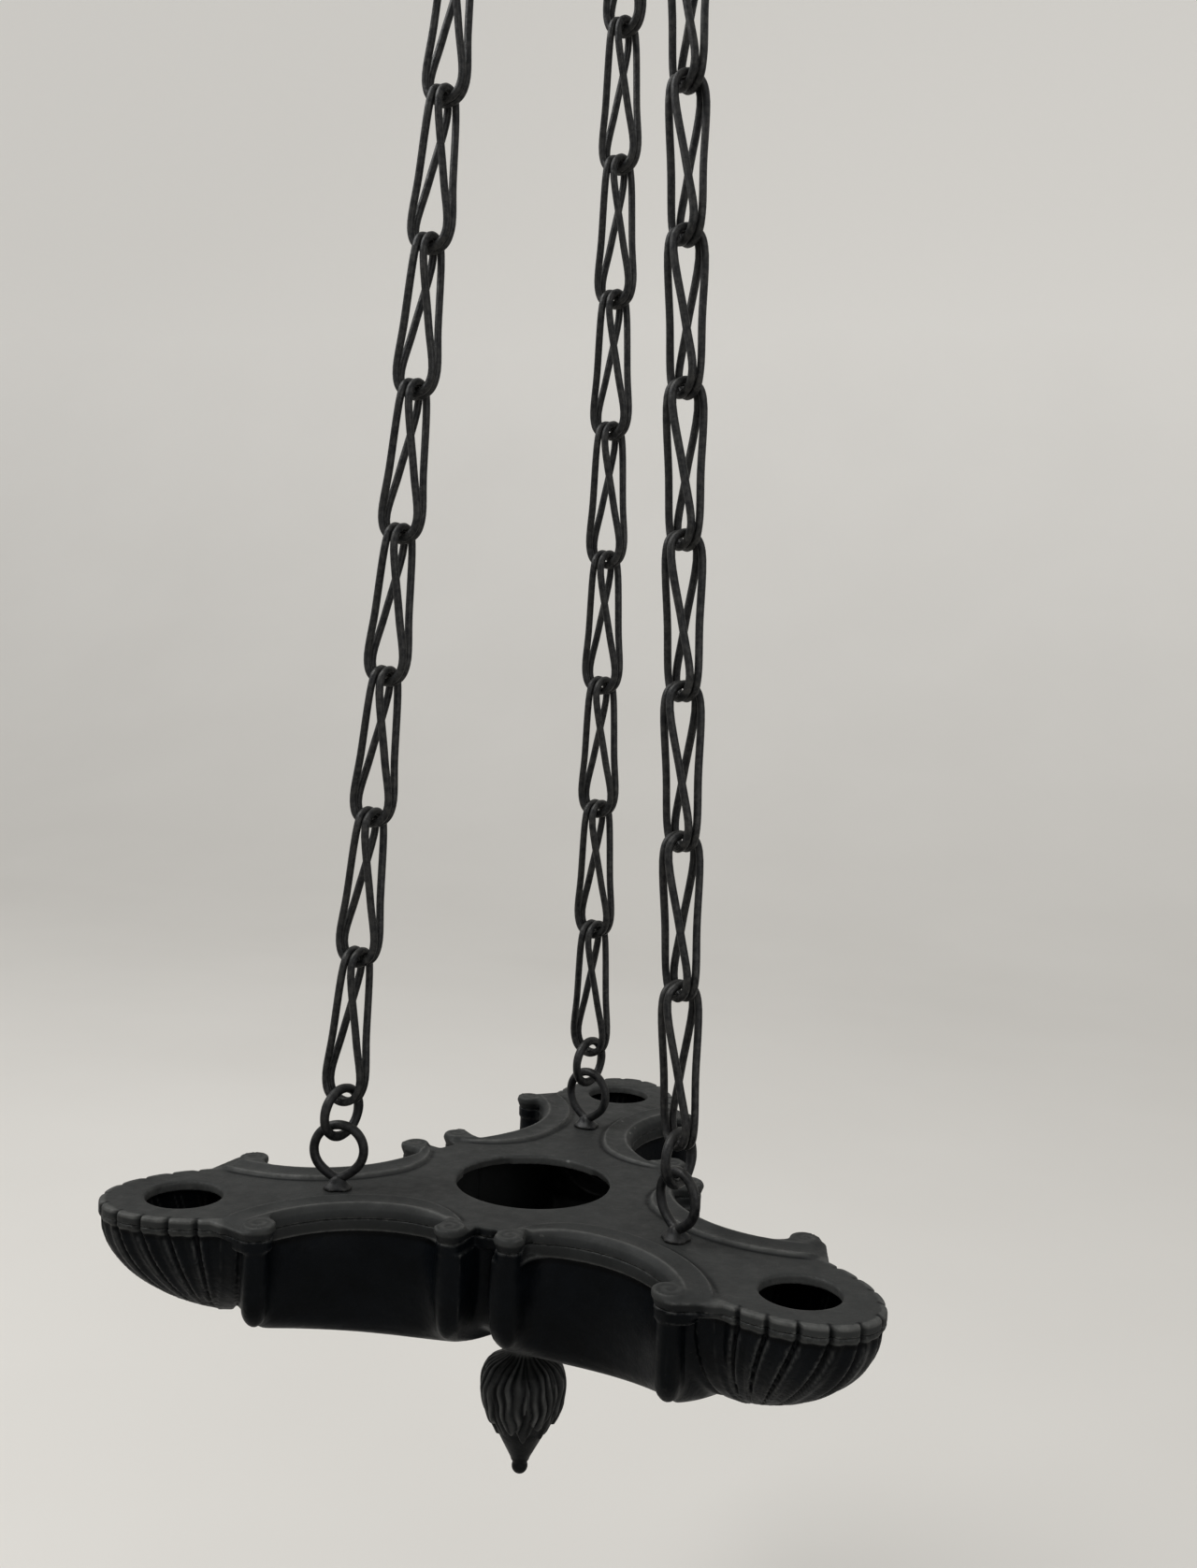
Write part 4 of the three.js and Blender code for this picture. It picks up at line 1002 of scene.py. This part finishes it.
def patinated(name, base, mottled, worn_and_highlight, dust, metallic, rough, dusty, grain=1.0, gloss=0.5, lit=None):
    """Dark metal with cloudy patina, worn edges and painted highlights, settled dust, painted shade in its
    grooves and under its lips, and a cast grain.
    """
    material = bpy.data.materials.new(name)
    material.use_nodes = True
    tree = material.node_tree
    shader = tree.nodes["Principled BSDF"]
    place = add_node(tree, "ShaderNodeTexCoord", (-1500, 0)).outputs["Object"]
    geometry = add_node(tree, "ShaderNodeNewGeometry", (-1500, -500))
    specks = noise(tree, (-1250, -150), place, 220, 8, 0.7)
    settled = ramp(tree, (-1050, -150), specks, [(0.3, (0.25, 0.25, 0.25)), (0.7, (1, 1, 1))])

    colour = patina(tree, place, base, mottled, lit)
    colour = mix(tree, (-450, 200), dust_mask(tree, geometry, settled, dusty), colour, dust)
    colour = mix(tree, (-250, 200), wear_and_highlight_mask(tree, place, geometry, settled), colour, worn_and_highlight)
    # Painted shade: the base colour halved where the piece's shade tint is high.
    painted_shade = arithmetic(tree, (-400, -600), "MULTIPLY", tint(tree, (-600, -600), "painted_shade"), 0.85)
    colour = mix(tree, (-100, 200), painted_shade, colour, tuple(0.5 * part for part in base))
    tree.links.new(colour, shader.inputs["Base Color"])

    sheen = noise(tree, (-1250, 600), place, 160, 5, 0.6)
    roughness = ramp(tree, (-1050, 600), sheen, [(0.3, (rough - 0.1,) * 3), (0.7, (rough + 0.12,) * 3)])
    tree.links.new(roughness, shader.inputs["Roughness"])
    tree.links.new(cast_grain(tree, place, grain), shader.inputs["Normal"])
    shader.inputs["Metallic"].default_value = metallic
    shader.inputs["Specular IOR Level"].default_value = gloss
    return material


bronze_body = patinated(
    "bronze_body", base=(0.0011, 0.0016, 0.0021), mottled=(0.0028, 0.0038, 0.0052),
    worn_and_highlight=(0.1, 0.101, 0.098), dust=(0.018, 0.019, 0.018), lit=(0.028, 0.029, 0.028),
    metallic=0.1, rough=0.38, dusty=0.5, gloss=0.07,
)
bronze_deck = patinated(
    "bronze_deck", base=(0.004, 0.005, 0.0058), mottled=(0.009, 0.0098, 0.0102),
    worn_and_highlight=(0.15, 0.15, 0.142), dust=(0.046, 0.047, 0.045), lit=(0.029, 0.0303, 0.0295),
    metallic=0.15, rough=0.55, dusty=0.36, gloss=0.12,
)
bronze_wire = patinated(
    "bronze_wire", base=(0.0035, 0.004, 0.005), mottled=(0.011, 0.0115, 0.012),
    worn_and_highlight=(0.07, 0.068, 0.063), dust=(0.05, 0.049, 0.045),
    metallic=0.3, rough=0.4, dusty=0.5, grain=1.2, gloss=0.3,
)
iron_fittings = patinated(
    "iron_fittings", base=(0.02, 0.02, 0.02), mottled=(0.035, 0.034, 0.033),
    worn_and_highlight=(0.12, 0.115, 0.11), dust=(0.07, 0.07, 0.067),
    metallic=0.5, rough=0.5, dusty=0.4,
)


# Assembly.
def piece(name, mesh, material, body, slot, *nodes, matrix, tints=None):
    """One visible piece in its place, riding on its body in the place of its CAD nodes."""
    made = mesh_object(name, *moved(mesh, matrix))
    for kind, values in (tints or {}).items():
        layer = made.data.attributes.new(kind, "FLOAT", "POINT")
        layer.data.foreach_set("value", np.asarray(values, np.float32))
    made.data.materials.append(material)
    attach(made, body)
    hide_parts(*nodes)
    return made


on_lamp = shift(0, 0, DECK_Z)
deck, pan = lamp_deck(), oil_pan()
bud, bud_tints = finial()
piece(
    "deck_casting", deck, bronze_deck, "lamp", "bronze_deck", "lamp_deck",
    matrix=on_lamp, tints=deck_tints(deck[0]),
)
piece(
    "pan_casting", pan, bronze_body, "lamp", "bronze_body", "oil_pan",
    matrix=on_lamp, tints=pan_tints(pan[0]),
)
piece(
    "leaf_finial", bud, bronze_body, "lamp", "bronze_body", "drop_finial",
    matrix=on_lamp, tints=bud_tints,
)

for arm, turn in ARM_TURNS.items():
    direction = turn_z(turn)
    seed = turn * 0.7
    piece(
        f"{arm}_top_eye", top_eye(), bronze_wire, "crown", "bronze_wire", f"top_eye_{arm}",
        matrix=direction @ shift(CHAIN_RADIUS_TOP, 0, SPREADER_BOTTOM)
        @ Matrix.Rotation(math.pi, 4, "X") @ turn_z(-LINK_TURNS[arm]),
    )
    chain = direction @ shift(CHAIN_RADIUS_TOP, 0, CHAIN_TOP_Z) @ Matrix.Rotation(-CHAIN_LEAN, 4, "Y")
    first = (FIRST_FOLD_Z - CHAIN_TOP_Z) / math.cos(CHAIN_LEAN)
    for index in range(LINK_COUNT):
        number = index + 1
        piece(
            f"{arm}_wire_link_{number:02d}", chain_link(seed + number), bronze_wire,
            f"{arm}_link_{number}", "bronze_wire", f"chain_{arm}_link_{number:02d}",
            matrix=chain @ shift(0, 0, first - index * LINK_PITCH) @ turn_z(LINK_TURNS[arm]),
        )
    ring_middle = (ROUND_RING_Z - CHAIN_TOP_Z) / math.cos(CHAIN_LEAN)
    piece(
        f"{arm}_round_ring", wire_ring(RING_RADIUS, RING_WIRE, seed), bronze_wire,
        f"{arm}_ring", "bronze_wire", f"chain_{arm}_ring",
        matrix=chain @ shift(0, 0, ring_middle) @ turn_z(LINK_TURNS[arm] + 90 + RING_TURNS[arm]),
    )
    piece(
        f"{arm}_deck_eye", deck_eye(seed), bronze_wire, "lamp", "bronze_wire", f"deck_eye_{arm}",
        matrix=direction @ shift(SCOOP_U, 0, DECK_Z) @ turn_z(EYE_TURNS[arm]),
    )

piece(
    "hanger_wire_ring", wire_ring(14, 2.2, 0.4), bronze_wire, "hanger", "bronze_wire", "hanger_ring",
    matrix=shift(0, 0, HANGER_Z) @ turn_z(90),
)
piece(
    "crown_ring_bolt", crown_eye_bolt(), bronze_wire, "crown", "bronze_wire", "crown_eye_bolt",
    matrix=shift(0, 0, CROWN_TOP_Z),
)
piece(
    "forged_hook", ceiling_hook(), iron_fittings, "ceiling_mount", "iron_fittings", "ceiling_hook",
    matrix=shift(0, 0, HOOK_Z),
)

# Pieces whose CAD shape stays, with worn edges and their own material.
for name, material, width in (
    ("ceiling_plate", iron_fittings, 0.6), ("ceiling_screw_1", iron_fittings, 0.2),
    ("ceiling_screw_2", iron_fittings, 0.2), ("ceiling_screw_3", iron_fittings, 0.2),
    ("crown_nut", iron_fittings, 0.4), ("finial_nut", iron_fittings, 0.4),
    ("spreader_plate", bronze_body, 0.7),
):
    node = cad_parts[name]
    node.data.materials.clear()
    node.data.materials.append(material)
    edges = node.modifiers.new("worn_edges", "BEVEL")
    edges.width = width * MM
    edges.segments = 3
    edges.limit_method = "ANGLE"
    edges.angle_limit = 40 * RAD
    node.data.polygons.foreach_set("use_smooth", [True] * len(node.data.polygons))

# Floor and backdrop: one pale sheet that curves up behind the lamp. These sizes are in metres.
FLOOR_Z = -0.86
FRONT_Y = -4.0
BACK_Y = 3.2
SHEET_TOP = 2.6
SHEET_HALF_WIDTH = 5.0
BEND = 1.6
PAPER_LIGHT_FROM = 0.6


def backdrop():
    profile = [(FRONT_Y, FLOOR_Z), (BACK_Y - BEND, FLOOR_Z)]
    for angle in np.linspace(0, 90, 16)[1:]:
        y = BACK_Y - BEND + BEND * math.sin(angle * RAD)
        profile.append((y, FLOOR_Z + BEND - BEND * math.cos(angle * RAD)))
    profile.append((BACK_Y, SHEET_TOP))
    vertices = []
    for y, z in profile:
        for x in (-SHEET_HALF_WIDTH, SHEET_HALF_WIDTH):
            vertices.append((x / MM, y / MM, z / MM))
    return mesh_object("backdrop", vertices, grid_faces(len(profile), 2, False, False))


def pale_paper():
    """Warm paper, darker below, that the camera sees a little brighter than the lamp is lit by it."""
    material = bpy.data.materials.new("paper")
    material.use_nodes = True
    tree = material.node_tree
    shader = tree.nodes["Principled BSDF"]
    shader.inputs["Roughness"].default_value = 0.95
    shader.inputs["Specular IOR Level"].default_value = 0.1
    place = add_node(tree, "ShaderNodeTexCoord", (-900, 0)).outputs["Object"]
    cloudy = arithmetic(tree, (-500, 150), "MULTIPLY", noise(tree, (-700, 0), place, 3, 3, 0.5), 0.2)
    height = add_node(tree, "ShaderNodeSeparateXYZ", (-700, -250))
    tree.links.new(place, height.inputs[0])
    rise = add_node(tree, "ShaderNodeMapRange", (-500, -250))
    rise.inputs["From Min"].default_value = FLOOR_Z
    rise.inputs["From Max"].default_value = PAPER_LIGHT_FROM
    tree.links.new(height.outputs["Z"], rise.inputs["Value"])
    level = arithmetic(tree, (-350, 0), "ADD", rise.outputs["Result"], cloudy)
    colour = ramp(tree, (-200, 0), level, [(0.0, (0.53, 0.515, 0.485)), (1.0, (0.86, 0.845, 0.81))])
    tree.links.new(colour, shader.inputs["Base Color"])

    glow = add_node(tree, "ShaderNodeEmission", (0, -300))
    glow.inputs["Color"].default_value = (1.0, 0.965, 0.9, 1)
    glow.inputs["Strength"].default_value = 0.16
    brighter = add_node(tree, "ShaderNodeAddShader", (200, -200))
    tree.links.new(shader.outputs[0], brighter.inputs[0])
    tree.links.new(glow.outputs[0], brighter.inputs[1])
    ray = add_node(tree, "ShaderNodeLightPath", (0, 300))
    seen = add_node(tree, "ShaderNodeMixShader", (400, 0))
    tree.links.new(ray.outputs["Is Camera Ray"], seen.inputs[0])
    tree.links.new(shader.outputs[0], seen.inputs[1])
    tree.links.new(brighter.outputs[0], seen.inputs[2])
    tree.links.new(seen.outputs[0], tree.nodes["Material Output"].inputs["Surface"])
    return material


sheet = backdrop()
sheet.data.materials.append(pale_paper())

world = bpy.data.worlds.new("studio")
bpy.context.scene.world = world
world.use_nodes = True
world.node_tree.nodes["Background"].inputs["Color"].default_value = (1, 1, 1, 1)
world.node_tree.nodes["Background"].inputs["Strength"].default_value = 0.55


def soft_light(name, place, target, size, power):
    """A round area light that faces its target."""
    data = bpy.data.lights.new(name, "AREA")
    data.shape = "DISK"
    data.size = size
    data.energy = power
    lamp = bpy.data.objects.new(name, data)
    lamp.location = place
    lamp.rotation_euler = (Vector(target) - Vector(place)).to_track_quat("-Z", "Y").to_euler()
    bpy.context.scene.collection.objects.link(lamp)


soft_light("key", (-0.9, -0.3, 0.75), (0, 0, -0.6), 1.1, 16)
soft_light("fill", (1.3, -1.3, 0.1), (0, 0, -0.6), 1.2, 6)

# The camera stands where the photo was taken from.
CAMERA_PLACE = (0.1678, -0.5455, -0.4195)
CAMERA_DOWN = 4.16
CAMERA_LEFT = 15.30
CAMERA_ROLL = 2.85
LENS = 34.09

camera_data = bpy.data.cameras.new("camera")
camera_data.sensor_width = 36
camera_data.lens = LENS
camera_data.clip_start = 0.01
camera_data.clip_end = 20
camera = bpy.data.objects.new("camera", camera_data)
camera.matrix_world = (
    Matrix.Translation(CAMERA_PLACE)
    @ Matrix.Rotation(CAMERA_LEFT * RAD, 4, "Z")
    @ Matrix.Rotation(math.pi / 2 - CAMERA_DOWN * RAD, 4, "X")
    @ Matrix.Rotation(CAMERA_ROLL * RAD, 4, "Z")
)
bpy.context.scene.collection.objects.link(camera)
bpy.context.scene.camera = camera
bpy.context.scene.view_settings.view_transform = "Standard"
